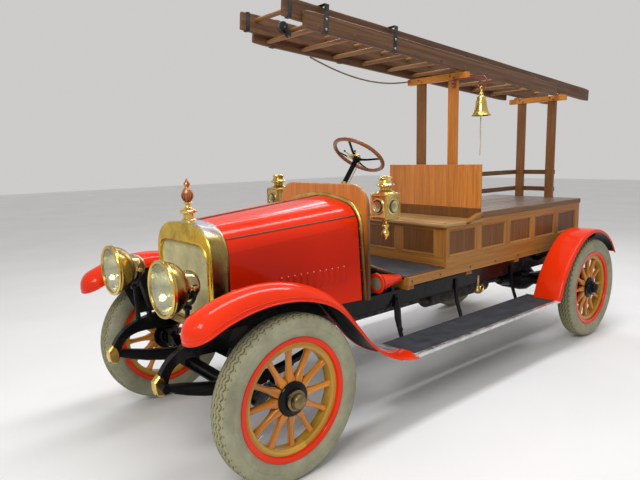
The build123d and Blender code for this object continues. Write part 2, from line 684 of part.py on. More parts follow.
FORK_Y = HEAD_FRONT + 146
FORK_R = 90.0
FORK_T = 16.0
with BuildPart() as headlamp_bracket:
    with BuildSketch(Plane.XZ.offset(-FORK_Y + FORK_T / 2)):
        with Locations((HEAD_X, HEAD_Z)):
            Circle(FORK_R + FORK_T)
            Circle(FORK_R, mode=Mode.SUBTRACT)
            Rectangle(400, 200, align=(Align.CENTER, Align.MIN), mode=Mode.SUBTRACT)
    extrude(amount=-FORK_T)
    for sign in (1, -1):
        with Locations(
            Plane(origin=(HEAD_X + sign * 76, FORK_Y, HEAD_Z), z_dir=(sign, 0, 0))
        ):
            Cylinder(13, FORK_R + FORK_T - 76, align=(Align.CENTER, Align.CENTER, Align.MIN))
    with BuildSketch(Plane.XY.offset(HEAD_Z - FORK_R - 6)):
        with Locations((HEAD_X, FORK_Y)):
            Circle(13)
    with BuildSketch(Plane.XY.offset(690)):
        with Locations((IRON_X, FORK_Y)):
            Circle(17)
    loft()
    add(headlamps.part, mode=Mode.SUBTRACT)
    add(chassis_frame.part, mode=Mode.SUBTRACT)
with BuildPart() as headlamp_brackets:
    add(headlamp_bracket.part)
    mirror(about=Plane.YZ)
save(headlamp_brackets.part, "headlamp_brackets")


# Fender lines in side view. Each run is a turn radius and an angle, or a straight length.
# A turn bends the line down towards the rear; a negative radius and turn bend it up.
SHEET = 4.0


def fender_runs(start, heading, runs):
    """Walk along the runs and give start point, heading and run for each."""
    y, z = start
    walked = []
    for kind, value, turn in runs:
        walked.append((y, z, heading, kind, value, turn))
        if kind == "arc":
            cy = y + value * sin(radians(heading))
            cz = z - value * cos(radians(heading))
            heading -= turn
            y = cy - value * sin(radians(heading))
            z = cz + value * cos(radians(heading))
        else:
            y += value * cos(radians(heading))
            z += value * sin(radians(heading))
    return walked


def fender_plane(y, z, angle, ahead=0.0):
    """Plane square to a fender's line; its X is the vehicle's X, its Y points out of the sheet."""
    along = Vector(0, cos(radians(angle)), sin(radians(angle)))
    return Plane(origin=Vector(0, y, z) - along * ahead, x_dir=(1, 0, 0), z_dir=along * -1)


def build_fender(start, heading, runs, section):
    """Fuse the runs of one fender; heading is the rise in degrees towards the rear."""
    for y, z, angle, kind, value, turn in fender_runs(start, heading, runs):
        with BuildSketch(fender_plane(y, z, angle)) as profile:
            section()
        if kind == "arc":
            centre = (0, y + value * sin(radians(angle)), z - value * cos(radians(angle)))
            hinge = (-1 if turn > 0 else 1, 0, 0)
            revolve(profile.sketch, axis=Axis(centre, hinge), revolution_arc=abs(turn))
        else:
            extrude(profile.sketch, amount=-value)


FENDER_IN, FENDER_OUT = 592.0, 802.0
FENDER_MID = (FENDER_IN + FENDER_OUT) / 2
FENDER_HALF = (FENDER_OUT - FENDER_IN) / 2
# Depth of the crowned section in front and at the board, and where along the line it changes
FENDER_DEEP, FENDER_FLAT = 98.0, 27.0
FENDER_FADE = (100.0, 1600.0)
# Points across the sheet as shares of its half-width, and how near the section is to a half ellipse
CROWN_SHARES = (-1, -0.95, -0.82, -0.6, -0.3, 0, 0.3, 0.6, 0.82, 0.95, 1)
CROWN_BOW = 0.995
# Stations of the domed nose, ahead of its centre
NOSE_STATIONS = (98.7, 95.0, 86.0, 70.0, 45.0, 22.0)
NOSE_TIP = 104.0
TURN_STEP = 9.0


def crown_drop(reach, half, depth):
    """Fall of the sheet at a distance from the crown line."""
    share = min(1.0, reach / half)
    return depth * (1 - sqrt(1 - (CROWN_BOW * share) ** 2)) / (1 - sqrt(1 - CROWN_BOW ** 2))


def fender_depth(distance):
    """Depth of the section at a distance along the crown line."""
    share = (distance - FENDER_FADE[0]) / (FENDER_FADE[1] - FENDER_FADE[0])
    share = min(1.0, max(0.0, share))
    return FENDER_DEEP + (FENDER_FLAT - FENDER_DEEP) * share * share * (3 - 2 * share)


def crown_line(ahead, depth, skin):
    """Points across one face of the sheet; ahead of the dome's centre, skin below the outside."""
    half, deep = FENDER_HALF - skin, depth - skin
    width = sqrt(half ** 2 - ahead ** 2)
    line = []
    for share in CROWN_SHARES:
        x = width * share
        line.append((FENDER_MID + x, -skin - crown_drop(sqrt(x * x + ahead * ahead), half, deep)))
    return line


def crowned_section(y, z, angle, ahead, depth, solid=False):
    """Closed section square to the crown line, of the sheet or of all that it covers."""
    inner = [] if solid else reversed(crown_line(ahead, depth, SHEET))
    with BuildSketch(fender_plane(y, z, angle, ahead)) as section:
        with BuildLine():
            Polyline(*crown_line(ahead, depth, 0), *inner, close=True)
        make_face()
    return section.sketch


# Runs of the front fender's crown line: kind, radius or length, turn down
FRONT_FENDER_START = (behind(-500.4), 985.7)
FRONT_FENDER_RISE = 25.6
FRONT_FENDER_RUNS = (
    ("arc", 844.3, 51.5), ("arc", 526.5, 25.4), ("line", 209.0, 0), ("arc", -617.6, -47.3),
)
# Running boards, needed here because the fenders stand on them
BOARD_IN, BOARD_OUT = 474.0, 790.0
BOARD_LOW, BOARD_TOP = 420.0, 442.0
BOARD_FRONT, BOARD_BACK = behind(955), behind(2862)
with BuildPart() as running_boards:
    with Locations((BOARD_IN, BOARD_FRONT, BOARD_LOW)):
        Box(
            BOARD_OUT - BOARD_IN, BOARD_BACK - BOARD_FRONT, BOARD_TOP - BOARD_LOW,
            align=(Align.MIN, Align.MIN, Align.MIN),
        )
    mirror(about=Plane.YZ)
save(running_boards.part, "running_boards")

split_runs = []
for kind, value, turn in FRONT_FENDER_RUNS:
    parts = max(1, round(abs(turn) / TURN_STEP))
    split_runs += [(kind, value, turn / parts)] * parts
split_runs.append(("line", 0.0, 0.0))
nose = (*FRONT_FENDER_START, FRONT_FENDER_RISE)
sections = [crowned_section(*nose, ahead, FENDER_DEEP) for ahead in NOSE_STATIONS]
distance = 0.0
for y, z, angle, kind, value, turn in fender_runs(FRONT_FENDER_START, FRONT_FENDER_RISE, split_runs):
    sections.append(crowned_section(y, z, angle, 0.0, fender_depth(distance)))
    distance += abs(value * radians(turn)) if kind == "arc" else value
tip = [crowned_section(*nose, ahead, FENDER_DEEP, True) for ahead in (NOSE_TIP, NOSE_STATIONS[0])]
with BuildPart() as front_fenders:
    loft(sections, ruled=True)
    # Blunt end of the nose
    loft(tip, ruled=True)
    add(running_boards.part, mode=Mode.SUBTRACT)
    mirror(about=Plane.YZ)
save(front_fenders.part, "front_fenders")

REAR_IN, REAR_OUT = 562.0, 802.0


def flanged_section():
    """Flat rear fender sheet with both edges turned down."""
    drop, bend = 24.0, 14.0
    with BuildLine() as outline:
        Polyline(
            (REAR_IN, -drop), (REAR_IN, -bend), (REAR_IN + bend, 0), (REAR_OUT - bend, 0),
            (REAR_OUT, -bend), (REAR_OUT, -drop), (REAR_OUT - SHEET, -drop),
            (REAR_OUT - SHEET, -bend - 2), (REAR_OUT - bend - 2, -SHEET),
            (REAR_IN + bend + 2, -SHEET), (REAR_IN + SHEET, -bend - 2),
            (REAR_IN + SHEET, -drop), close=True,
        )
    make_face(outline.edges())


REAR_FENDER_R = 538.0
REAR_FENDER_FLARE = 897.0
flare_turn, top_turn = 32.0, 93.0
top_start = 125.0
arc_start = (
    REAR_AXLE + REAR_FENDER_R * cos(radians(top_start)),
    TYRE_R + REAR_FENDER_R * sin(radians(top_start)),
)
flare_centre = (
    REAR_AXLE - (REAR_FENDER_FLARE - REAR_FENDER_R) * cos(radians(top_start)),
    TYRE_R - (REAR_FENDER_FLARE - REAR_FENDER_R) * sin(radians(top_start)),
)
flare_angle = top_start + flare_turn
flare_start = (
    flare_centre[0] + REAR_FENDER_FLARE * cos(radians(flare_angle)),
    flare_centre[1] + REAR_FENDER_FLARE * sin(radians(flare_angle)),
)
foot_rise = flare_angle - 90
foot_length = (flare_start[1] - BOARD_TOP + 6) / sin(radians(foot_rise))
foot_start = (
    flare_start[0] - foot_length * cos(radians(foot_rise)), flare_start[1] - foot_length * sin(radians(foot_rise)),
)
REAR_FENDER_RUNS = (
    ("line", foot_length, 0), ("arc", REAR_FENDER_FLARE, flare_turn), ("arc", REAR_FENDER_R, top_turn),
)
with BuildPart() as rear_fenders:
    build_fender(foot_start, foot_rise, REAR_FENDER_RUNS, flanged_section)
    add(running_boards.part, mode=Mode.SUBTRACT)
    mirror(about=Plane.YZ)
save(rear_fenders.part, "rear_fenders")

# Irons that carry the boards and the fenders
IRON_T = 12.0
BOARD_IRONS = (1200, 1900, 2700)
# Fender irons: distance behind the front axle, height at the fender, outer end
FENDER_IRONS = ((-260, 1000, 564), (420, 812, 564), (3150, 880, 640), (3750, 890, 640))
with BuildPart() as irons:
    for back in BOARD_IRONS:
        with BuildSketch(Plane.XZ.offset(-behind(back) + 16)):
            with BuildLine():
                Polyline(
                    (WAIST_HALF, 720), (WAIST_HALF + IRON_T, 720), (424, 560), (464, 440),
                    (472, BOARD_LOW), (BOARD_OUT - 30, BOARD_LOW),
                    (BOARD_OUT - 30, BOARD_LOW - IRON_T), (462, BOARD_LOW - IRON_T),
                    (452, 436), (WAIST_HALF + 8, 552), (WAIST_HALF, 640), close=True,
                )
            make_face()
        extrude(amount=-32)
    for back, height, reach in FENDER_IRONS:
        y = behind(back)
        inner = max(rail_half(y), NOSE_HALF) + 0.7
        with BuildSketch(Plane.XZ.offset(-y + 10)):
            with BuildLine():
                Polyline(
                    (inner, 700), (inner + 30, 700), (reach + 30, height), (reach, height),
                    (inner, 730), close=True,
                )
            make_face()
        extrude(amount=-20)
    mirror(about=Plane.YZ)
    add(front_fenders.part, mode=Mode.SUBTRACT)
    add(rear_fenders.part, mode=Mode.SUBTRACT)
save(irons.part, "irons")

# Steering column and wheel, on the right-hand side
RIM_SECTION = 15.0
STEER_R = 210.0
HUB_LEN = 44.0
COLUMN_LENGTH = 1180.0
with BuildPart() as steering_column:
    with Locations(Plane(origin=WHEEL_HUB - COLUMN_AXIS * (COLUMN_LENGTH + 30), z_dir=COLUMN_AXIS)):
        Cylinder(COLUMN_R, COLUMN_LENGTH, align=(Align.CENTER, Align.CENTER, Align.MIN))
        Cylinder(52, 110, align=(Align.CENTER, Align.CENTER, Align.CENTER))
    # Foot of the steering box on the right rail
    box_end = WHEEL_HUB - COLUMN_AXIS * (COLUMN_LENGTH + 30)
    with Locations((-375, box_end.Y + 10, FRAME_TOP)):
        Box(80, 60, 44, align=(Align.MIN, Align.CENTER, Align.MIN))
    with Locations(Plane(origin=WHEEL_HUB - COLUMN_AXIS * 30, z_dir=COLUMN_AXIS * -1)):
        Hole(12.08, depth=90)
save(steering_column.part, "steering_column")

steer_plane = Plane(origin=WHEEL_HUB, x_dir=(1, 0, 0), z_dir=COLUMN_AXIS)
with BuildPart() as steering_wheel:
    with Locations(steer_plane):
        Torus(STEER_R, RIM_SECTION)
        Cylinder(32, HUB_LEN)
    for quarter in range(4):
        angle = 45 + 90 * quarter
        spoke = Vector(cos(radians(angle)), sin(radians(angle)), 0)
        with BuildSketch(steer_plane.offset(-4)):
            with Locations(Location((spoke.X * STEER_R / 2, spoke.Y * STEER_R / 2), angle)):
                Rectangle(STEER_R, 22)
        extrude(amount=8)
    with Locations(Plane(origin=WHEEL_HUB, z_dir=COLUMN_AXIS * -1)):
        Cylinder(12, 110, align=(Align.CENTER, Align.CENTER, Align.MIN))
save(steering_wheel.part, "steering_wheel")

# Floor and toe board in front of the seat
FLOOR_T = 14.0
FLOOR_TOP = 852.0
FLOOR_FRONT = behind(1262)
BOX_FRONT = behind(1690)
BOX_BACK = behind(3820)
WALL = 24.0
TOE_HALF = 334.0
COLUMN_GAP = 8.0
TOE_END = (behind(985), 966.0)
with BuildPart() as floor_board:
    with BuildSketch(Plane.YZ.offset(-TOE_HALF)):
        with BuildLine():
            Polyline(
                (FLOOR_FRONT + 40, FLOOR_TOP), (FLOOR_FRONT, FLOOR_TOP), TOE_END,
                (TOE_END[0], TOE_END[1] - FLOOR_T), (FLOOR_FRONT - 3, FLOOR_TOP - FLOOR_T),
                (FLOOR_FRONT + 40, FLOOR_TOP - FLOOR_T), close=True,
            )
        make_face()
    extrude(amount=2 * TOE_HALF)
    with Locations((0, FLOOR_FRONT, FLOOR_TOP)):
        Box(
            2 * (BODY_HALF - WALL), BOX_BACK - WALL - FLOOR_FRONT, FLOOR_T,
            align=(Align.CENTER, Align.MIN, Align.MAX),
        )
    # Hole for the steering column
    with Locations(Plane(origin=WHEEL_HUB - COLUMN_AXIS * COLUMN_LENGTH, z_dir=COLUMN_AXIS)):
        Cylinder(
            COLUMN_R + COLUMN_GAP, COLUMN_LENGTH / 3,
            align=(Align.CENTER, Align.CENTER, Align.MIN), mode=Mode.SUBTRACT,
        )
save(floor_board.part, "floor_board")

# Wooden sills on cross bearers
SILL_LOW, SILL_TOP = 781.0, 838.0
SILL_W = 41.0
BEARERS = (1300, 2000, 2700, 3400)
with BuildPart() as sills:
    for sign in (1, -1):
        with Locations((sign * (BODY_HALF - SILL_W / 2), FLOOR_FRONT, SILL_LOW)):
            Box(
                SILL_W, BOX_BACK - FLOOR_FRONT, SILL_TOP - SILL_LOW,
                align=(Align.CENTER, Align.MIN, Align.MIN),
            )
    for back in BEARERS:
        with Locations((0, behind(back), FRAME_TOP)):
            Box(
                2 * (BODY_HALF - 12), 70, SILL_TOP - FRAME_TOP - 20,
                align=(Align.CENTER, Align.CENTER, Align.MIN),
            )
save(sills.part, "sills")

# Body box of framed panels
RECESS = 10.0
BOX_LOW = SILL_TOP
SEAT_BACK_Y = behind(2134)
DECK_LOW, DECK_TOP = 1205.0, 1229.0
SEAT_LOW, SEAT_TOP = 1146.0, 1176.0
PANEL_LOW, PANEL_TOP = 926.0, 1122.0
PANEL_W = 355.0
PANEL_PITCH = 417.0
PANEL_START = behind(1722)
PANELS = 5
with BuildPart() as body_sides:
    with BuildSketch(Plane.YZ.offset(BODY_HALF - WALL)):
        with BuildLine():
            Polyline(
                (BOX_FRONT, BOX_LOW), (BOX_BACK, BOX_LOW), (BOX_BACK, DECK_LOW),
                (SEAT_BACK_Y, DECK_LOW), (SEAT_BACK_Y, SEAT_LOW), (BOX_FRONT, SEAT_LOW),
                close=True,
            )
        make_face()
    extrude(amount=WALL)
    with BuildSketch(Plane.YZ.offset(BODY_HALF)):
        for panel in range(PANELS):
            with Locations((PANEL_START + panel * PANEL_PITCH, PANEL_LOW)):
                Rectangle(PANEL_W, PANEL_TOP - PANEL_LOW, align=(Align.MIN, Align.MIN))
    extrude(amount=-RECESS, mode=Mode.SUBTRACT)
    mirror(about=Plane.YZ)
save(body_sides.part, "body_sides")

END_HALF = BODY_HALF - WALL
FRONT_PANEL_W = 330.0
for name, y, outward, low, top in (
    ("body_front", BOX_FRONT, -1, FLOOR_TOP, SEAT_LOW), ("body_rear", BOX_BACK, 1, BOX_LOW, DECK_LOW),
):
    with BuildPart() as body_end:
        with BuildSketch(Plane.XZ.offset(-y)):
            with Locations((0, low)):
                Rectangle(2 * END_HALF, top - low, align=(Align.CENTER, Align.MIN))
        extrude(amount=outward * WALL)
        with BuildSketch(Plane.XZ.offset(-y)):
            for sign in (1, -1):
                with Locations((sign * 195, PANEL_LOW)):
                    Rectangle(FRONT_PANEL_W, PANEL_TOP - PANEL_LOW, align=(Align.CENTER, Align.MIN))
        extrude(amount=outward * RECESS, mode=Mode.SUBTRACT)
    save(body_end.part, name)

with BuildPart() as deck:
    with Locations((0, SEAT_BACK_Y, DECK_LOW)):
        Box(
            2 * (BODY_HALF + 6), BOX_BACK + 8 - SEAT_BACK_Y, DECK_TOP - DECK_LOW,
            align=(Align.CENTER, Align.MIN, Align.MIN),
        )
save(deck.part, "deck")

with BuildPart() as seat_board:
    with BuildSketch(Plane.XY.offset(SEAT_LOW)):
        with BuildLine():
            seat_half = BODY_HALF + 12
            Polyline(
                (-seat_half + 30, BOX_FRONT - 34), (seat_half - 30, BOX_FRONT - 34),
                (seat_half, BOX_FRONT - 4), (seat_half, SEAT_BACK_Y), (-seat_half, SEAT_BACK_Y),
                (-seat_half, BOX_FRONT - 4), close=True,
            )
        make_face()
    extrude(amount=SEAT_TOP - SEAT_LOW)
save(seat_board.part, "seat_board")

SEAT_BACK_TOP = 1600.0
with BuildPart() as seat_back:
    with Locations((0, SEAT_BACK_Y - 22, SEAT_TOP)):
        Box(
            2 * BODY_HALF, 22, SEAT_BACK_TOP - SEAT_TOP,
            align=(Align.CENTER, Align.MIN, Align.MIN),
        )
save(seat_back.part, "seat_back")

# Ladder rack: two trestles of planks, and rails between them
POST_X = 162.0
POST_W, POST_T = 82.0, 32.0
BAR_HALF, BAR_H, BAR_T = 297.0, 50.0, 46.0
# Trestles: name, distance behind the front axle, top of the crossbar
TRESTLES = (("rack_front", 2172.0, 2320.0), ("rack_rear", 3803.0, 2230.0))
for name, back, top in TRESTLES:
    with BuildPart() as trestle:
        for sign in (1, -1):
            with Locations((sign * POST_X, behind(back), DECK_TOP)):
                Box(POST_W, POST_T, top - DECK_TOP - 10, align=(Align.CENTER, Align.CENTER, Align.MIN))
        with Locations((0, behind(back), top)):
            Box(2 * BAR_HALF, BAR_T, BAR_H, align=(Align.CENTER, Align.CENTER, Align.MAX))
        if name == "rack_rear":
            # Packing under the sliding rails
            for sign in (1, -1):
                with Locations((sign * 221, behind(back), top)):
                    Box(40, BAR_T, 13, align=(Align.CENTER, Align.CENTER, Align.MIN))
    save(trestle.part, name)

RAIL_HEIGHTS = (1310.0, 1480.0)
front_back, rear_back = TRESTLES[0][1], TRESTLES[1][1]
with BuildPart() as rack_rails:
    for height in RAIL_HEIGHTS:
        with Locations((-POST_X - POST_W / 2, behind(front_back) - POST_T / 2, height)):
            Box(
                22, rear_back - front_back + POST_T, 44,
                align=(Align.MAX, Align.MIN, Align.CENTER),
            )
        with Locations((0, behind(rear_back) + POST_T / 2, height)):
            Box(2 * POST_X + POST_W + 44, 22, 44, align=(Align.CENTER, Align.MIN, Align.CENTER))
save(rack_rails.part, "rack_rails")

# Ladder: outer base section, and an inner section that slides out to the front
LADDER_SLOPE = degrees(atan2(0.0744, 1.0))
BASE_OUT, BASE_RAIL_W, BASE_RAIL_H = 285.0, 36.0, 108.0
FLY_OUT, FLY_RAIL_W, FLY_RAIL_H = 238.0, 34.0, 118.0
FLY_LIFT = 50.0
RUNG_R = 15.0
RUNG_PITCH = 300.0
ladder_anchor = Vector(0, behind(TRESTLES[0][1]), TRESTLES[0][2] + 1.8)
# Local frame: X across, Y along the ladder to the rear, Z square to the rails
ladder_place = Location(tuple(ladder_anchor), (-LADDER_SLOPE, 0, 0))


def along_ladder(distance):
    """Local Y along the ladder for a distance behind the front axle."""
    return (distance - TRESTLES[0][1]) / cos(radians(LADDER_SLOPE))


BASE_FRONT, BASE_BACK = along_ladder(540), along_ladder(3650)
FLY_FRONT, FLY_BACK = along_ladder(412), along_ladder(4425)
KEEPERS = (along_ladder(700), along_ladder(1330))

with BuildPart() as ladder_base:
    for sign in (1, -1):
        with Locations((sign * (BASE_OUT - BASE_RAIL_W / 2), BASE_FRONT, 0)):
            Box(
                BASE_RAIL_W, BASE_BACK - BASE_FRONT, BASE_RAIL_H,
                align=(Align.CENTER, Align.MIN, Align.MIN),
            )
    rungs = int((BASE_BACK - BASE_FRONT - 200) // RUNG_PITCH) + 1
    for rung in range(rungs):
        centre = (-BASE_OUT + 10, BASE_FRONT + 110 + rung * RUNG_PITCH, 24)
        with Locations(Plane(origin=centre, z_dir=(1, 0, 0))):
            Cylinder(RUNG_R, 2 * BASE_OUT - 20, align=(Align.CENTER, Align.CENTER, Align.MIN))
    for y in KEEPERS:
        # Guide bar under the sliding rails, and hooks over their tops
        with Locations((0, y, FLY_LIFT - 1)):
            Box(2 * BASE_OUT - 20, 40, 12, align=(Align.CENTER, Align.CENTER, Align.MAX))
        for sign in (1, -1):
            with BuildSketch(Plane.XZ.offset(-y + 18)):
                with BuildLine():
                    top = FLY_LIFT + FLY_RAIL_H + 2
                    Polyline(
                        (sign * BASE_OUT, 30), (sign * (BASE_OUT + 6), 30),
                        (sign * (BASE_OUT + 6), top + 6), (sign * (FLY_OUT - 24), top + 6),
                        (sign * (FLY_OUT - 24), top), (sign * (BASE_OUT - 24), top),
                        (sign * (BASE_OUT - 24), BASE_RAIL_H - 4), (sign * BASE_OUT, BASE_RAIL_H - 4),
                        close=True,
                    )
                make_face()
            extrude(amount=-36)
    # Hoisting pulley in two cheeks, hung forward of the first rung
    pulley_y = BASE_FRONT + 45
    with Locations(Plane(origin=(-12, pulley_y, 62), z_dir=(1, 0, 0))):
        Cylinder(38, 24, align=(Align.CENTER, Align.CENTER, Align.MIN))
    for x in (-20, 16):
        with BuildSketch(Plane.YZ.offset(x)):
            with BuildLine():
                Polyline(
                    (pulley_y - 14, 76), (pulley_y + 14, 76), (pulley_y + 70, 34),
                    (pulley_y + 70, 14), (pulley_y + 52, 10), (pulley_y - 14, 50), close=True,
                )
            make_face()
        extrude(amount=4)
    with Locations(Plane(origin=(-20, pulley_y, 62), z_dir=(1, 0, 0))):
        Cylinder(6, 40, align=(Align.CENTER, Align.CENTER, Align.MIN))
save(ladder_place * ladder_base.part, "ladder_base")

with BuildPart() as ladder_fly:
    for sign in (1, -1):
        with Locations((sign * (FLY_OUT - FLY_RAIL_W / 2), FLY_FRONT, FLY_LIFT)):
            Box(
                FLY_RAIL_W, FLY_BACK - FLY_FRONT, FLY_RAIL_H,
                align=(Align.CENTER, Align.MIN, Align.MIN),
            )
    rungs = int((FLY_BACK - FLY_FRONT - 200) // RUNG_PITCH) + 1
    for rung in range(rungs):
        centre = (-FLY_OUT + 10, FLY_FRONT + 110 + rung * RUNG_PITCH, FLY_LIFT + 80)
        with Locations(Plane(origin=centre, z_dir=(1, 0, 0))):
            Cylinder(RUNG_R, 2 * FLY_OUT - 20, align=(Align.CENTER, Align.CENTER, Align.MIN))
save(ladder_place * ladder_fly.part, "ladder_fly")

# Bell on a curled iron bracket from the front trestle, with a limp pull cord
BELL = Vector(442, behind(2172) - BAR_T / 2 - 10)
BELL_R = 78.0
BELL_H = 151.0
BRACKET_Z = 2266.0
BRACKET_FOOT = 190.0
HOOK_R = 45.0
IRON_R = 6.0
with BuildPart() as bell_bracket:
    with BuildLine(Plane.XZ.offset(-BELL.Y)) as hook_line:
        Line((BRACKET_FOOT, BRACKET_Z), (BELL.X, BRACKET_Z))
        ThreePointArc(
            (BELL.X, BRACKET_Z), (BELL.X + HOOK_R, BRACKET_Z - HOOK_R),
            (BELL.X, BRACKET_Z - 2 * HOOK_R),
        )
        ThreePointArc(
            (BELL.X, BRACKET_Z - 2 * HOOK_R), (BELL.X - 28, BRACKET_Z - 2 * HOOK_R + 28),
            (BELL.X, BRACKET_Z - 2 * HOOK_R + 56),
        )
    with BuildSketch(Plane(origin=(BRACKET_FOOT, BELL.Y, BRACKET_Z), z_dir=(1, 0, 0))):
        Circle(IRON_R)
    sweep()
    # Foot on the front of the trestle's post
    post_front = behind(TRESTLES[0][1]) - POST_T / 2
    with Locations((POST_X + POST_W / 2, post_front, BRACKET_Z + 1)):
        Box(34, post_front - BELL.Y, 62, align=(Align.MAX, Align.MAX, Align.MAX))
save(bell_bracket.part, "bell_bracket")

# Bell hanging by a neck and a loop, with its clapper
LOOP_GAP = 2.0
LOOP_WIRE = 5.0
NECK_H = 42.0
hook_low = BRACKET_Z - 2 * HOOK_R
bell_top = hook_low - IRON_R - LOOP_GAP - LOOP_WIRE
crown_z = bell_top - NECK_H
with BuildPart() as bell:
    with BuildSketch(Plane(origin=(BELL.X, BELL.Y, crown_z), x_dir=(1, 0, 0), z_dir=(0, -1, 0))):
        with BuildLine():
            Line((0, 0), (16, 0))
            ThreePointArc((16, 0), (30, -8), (35, -30))
            ThreePointArc((35, -30), (47, -88), (58, -132))
            ThreePointArc((58, -132), (66, -140), (BELL_R, -BELL_H + 6))
            Polyline((BELL_R, -BELL_H + 6), (BELL_R - 4, -BELL_H), (BELL_R - 14, -BELL_H + 3))
            ThreePointArc((BELL_R - 14, -BELL_H + 3), (53, -139), (50, -130))
            ThreePointArc((50, -130), (40, -88), (28, -32))
            ThreePointArc((28, -32), (22, -14), (12, -8))
            Polyline((12, -8), (0, -8), (0, 0))
        make_face()
    revolve(axis=Axis((BELL.X, BELL.Y, 0), (0, 0, 1)))
    # Hanging loop round the hook, and the neck below it
    with Locations(Plane(origin=(BELL.X, BELL.Y, hook_low), z_dir=(1, 0, 0))):
        Torus(IRON_R + LOOP_GAP + LOOP_WIRE, LOOP_WIRE)
    with Locations((BELL.X, BELL.Y, bell_top)):
        Cylinder(13, NECK_H + 2, align=(Align.CENTER, Align.CENTER, Align.MAX))
    # Clapper: rod, ball and the stub that the cord is tied to
    with Locations((BELL.X, BELL.Y, crown_z - 4)):
        Cylinder(4, BELL_H + 18, align=(Align.CENTER, Align.CENTER, Align.MAX))
    with Locations((BELL.X, BELL.Y, crown_z - BELL_H + 4)):
        Sphere(13)
save(bell.part, "bell")

CORD_R = 5.0
cord_top = crown_z - BELL_H - 22
# Route of the pull cord: X, Y, Z from the clapper down
CORD_ROUTE = (
    (BELL.X, BELL.Y, cord_top), (BELL.X, BELL.Y, cord_top - 45),
    (BELL.X - 3, BELL.Y + 2, cord_top - 93), (BELL.X - 1, BELL.Y + 4, cord_top - 141),
    (BELL.X + 3, BELL.Y + 2, cord_top - 189), (BELL.X + 1, BELL.Y - 2, cord_top - 237),
    (BELL.X - 2, BELL.Y, cord_top - 280),
)


def cord_radii(route):
    """Arc radius at each inner point: 0.45 of the shorter run over tan of half the turn."""
    radii = []
    for before, at, after in zip(route, route[1:], route[2:]):
        run_in = Vector(*at) - Vector(*before)
        run_out = Vector(*after) - Vector(*at)
        turn = run_in.get_angle(run_out)
        radii.append(0.45 * min(run_in.length, run_out.length) / tan(radians(turn / 2)))
    return radii


def cord_tube(route, radius):
    """Plain tube along straight runs joined by tangent arcs."""
    radii = cord_radii(route)
    with BuildPart() as tube:
        with BuildLine() as path:
            FilletPolyline(*route, radius=radii)
        with BuildSketch(Plane(origin=route[0], z_dir=Vector(*route[1]) - Vector(*route[0]))):
            Circle(radius)
        sweep()
    print("cord length", round(path.wires()[0].length), "radii", [round(r) for r in radii],
          "volume ratio", round(tube.part.volume / (3.14159 * radius ** 2 * path.wires()[0].length), 3))
    return tube.part


save(cord_tube(CORD_ROUTE, CORD_R), "bell_cord")

# Slack hoisting rope under the ladder, tied to a rung and to the front crossbar
ROPE_R = 6.0
ROPE_ROUTE = (
    (-262, behind(1030), 2398), (-264, behind(1110), 2374), (-266, behind(1270), 2330),
    (-267, behind(1460), 2292), (-268, behind(1660), 2270), (-269, behind(1850), 2268),
    (-270, behind(2030), 2284), (-271, behind(2147.5), 2302),
)
save(cord_tube(ROPE_ROUTE, ROPE_R), "ladder_rope")

# Fire extinguisher lying in two saddles on the left rail, behind the dash board
CAN = (408.0, behind(1000), 834.0)
with BuildPart() as extinguisher:
    with BuildSketch(Plane(origin=CAN, x_dir=(1, 0, 0), z_dir=(0, 0, 1))):
        with BuildLine():
            Polyline(
                (0, 0), (69, 0), (69, 14), (62, 18), (22, 240), (10, 252), (0, 252),
                close=True,
            )
        make_face()
    revolve(axis=Axis(CAN, (0, 1, 0)))
    for back, height in ((1050, 40), (1180, 62)):
        with Locations((WAIST_HALF - 22, behind(back), FRAME_TOP)):
            Box(40, 26, height, align=(Align.CENTER, Align.CENTER, Align.MIN))
save(extinguisher.part, "extinguisher")

# Gear and brake levers outside the right sill
LEVER_X = -(BODY_HALF + 24)
# Levers: distance behind the front axle, lean to the rear in degrees, length
LEVERS = ((1350, 12, 430), (1430, 6, 470))
with BuildPart() as hand_levers:
    for back, lean, reach in LEVERS:
        foot = Plane(
            origin=(LEVER_X, behind(back), 810), x_dir=(1, 0, 0),
            z_dir=(0, sin(radians(lean)), cos(radians(lean))),
        )
        with Locations(foot):
            Cylinder(9, reach, align=(Align.CENTER, Align.CENTER, Align.MIN))
        with Locations(foot.offset(reach)):
            Sphere(20)
    with Locations((-BODY_HALF, behind(1390), (SILL_LOW + SILL_TOP) / 2)):
        Box(48, 180, 50, align=(Align.MAX, Align.CENTER, Align.CENTER))
save(hand_levers.part, "hand_levers")
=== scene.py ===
import json
import math
import random

import bmesh
import bpy
from mathutils import Matrix, Vector


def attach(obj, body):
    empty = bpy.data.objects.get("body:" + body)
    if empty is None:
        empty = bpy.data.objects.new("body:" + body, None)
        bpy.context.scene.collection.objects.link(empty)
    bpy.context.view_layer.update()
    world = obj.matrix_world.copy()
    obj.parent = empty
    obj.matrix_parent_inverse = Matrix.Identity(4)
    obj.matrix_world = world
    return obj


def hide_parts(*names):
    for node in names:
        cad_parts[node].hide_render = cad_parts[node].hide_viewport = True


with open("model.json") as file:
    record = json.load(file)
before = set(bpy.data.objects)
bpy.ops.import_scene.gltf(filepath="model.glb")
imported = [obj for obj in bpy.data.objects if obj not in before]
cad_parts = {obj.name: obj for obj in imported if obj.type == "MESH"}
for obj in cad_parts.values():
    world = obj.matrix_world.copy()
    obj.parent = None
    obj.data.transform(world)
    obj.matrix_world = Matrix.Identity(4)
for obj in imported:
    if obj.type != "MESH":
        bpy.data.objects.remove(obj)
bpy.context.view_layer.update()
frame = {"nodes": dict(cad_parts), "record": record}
NODES = frame["nodes"]
rng = random.Random(7)
SIDES = (("left", 1), ("right", -1))

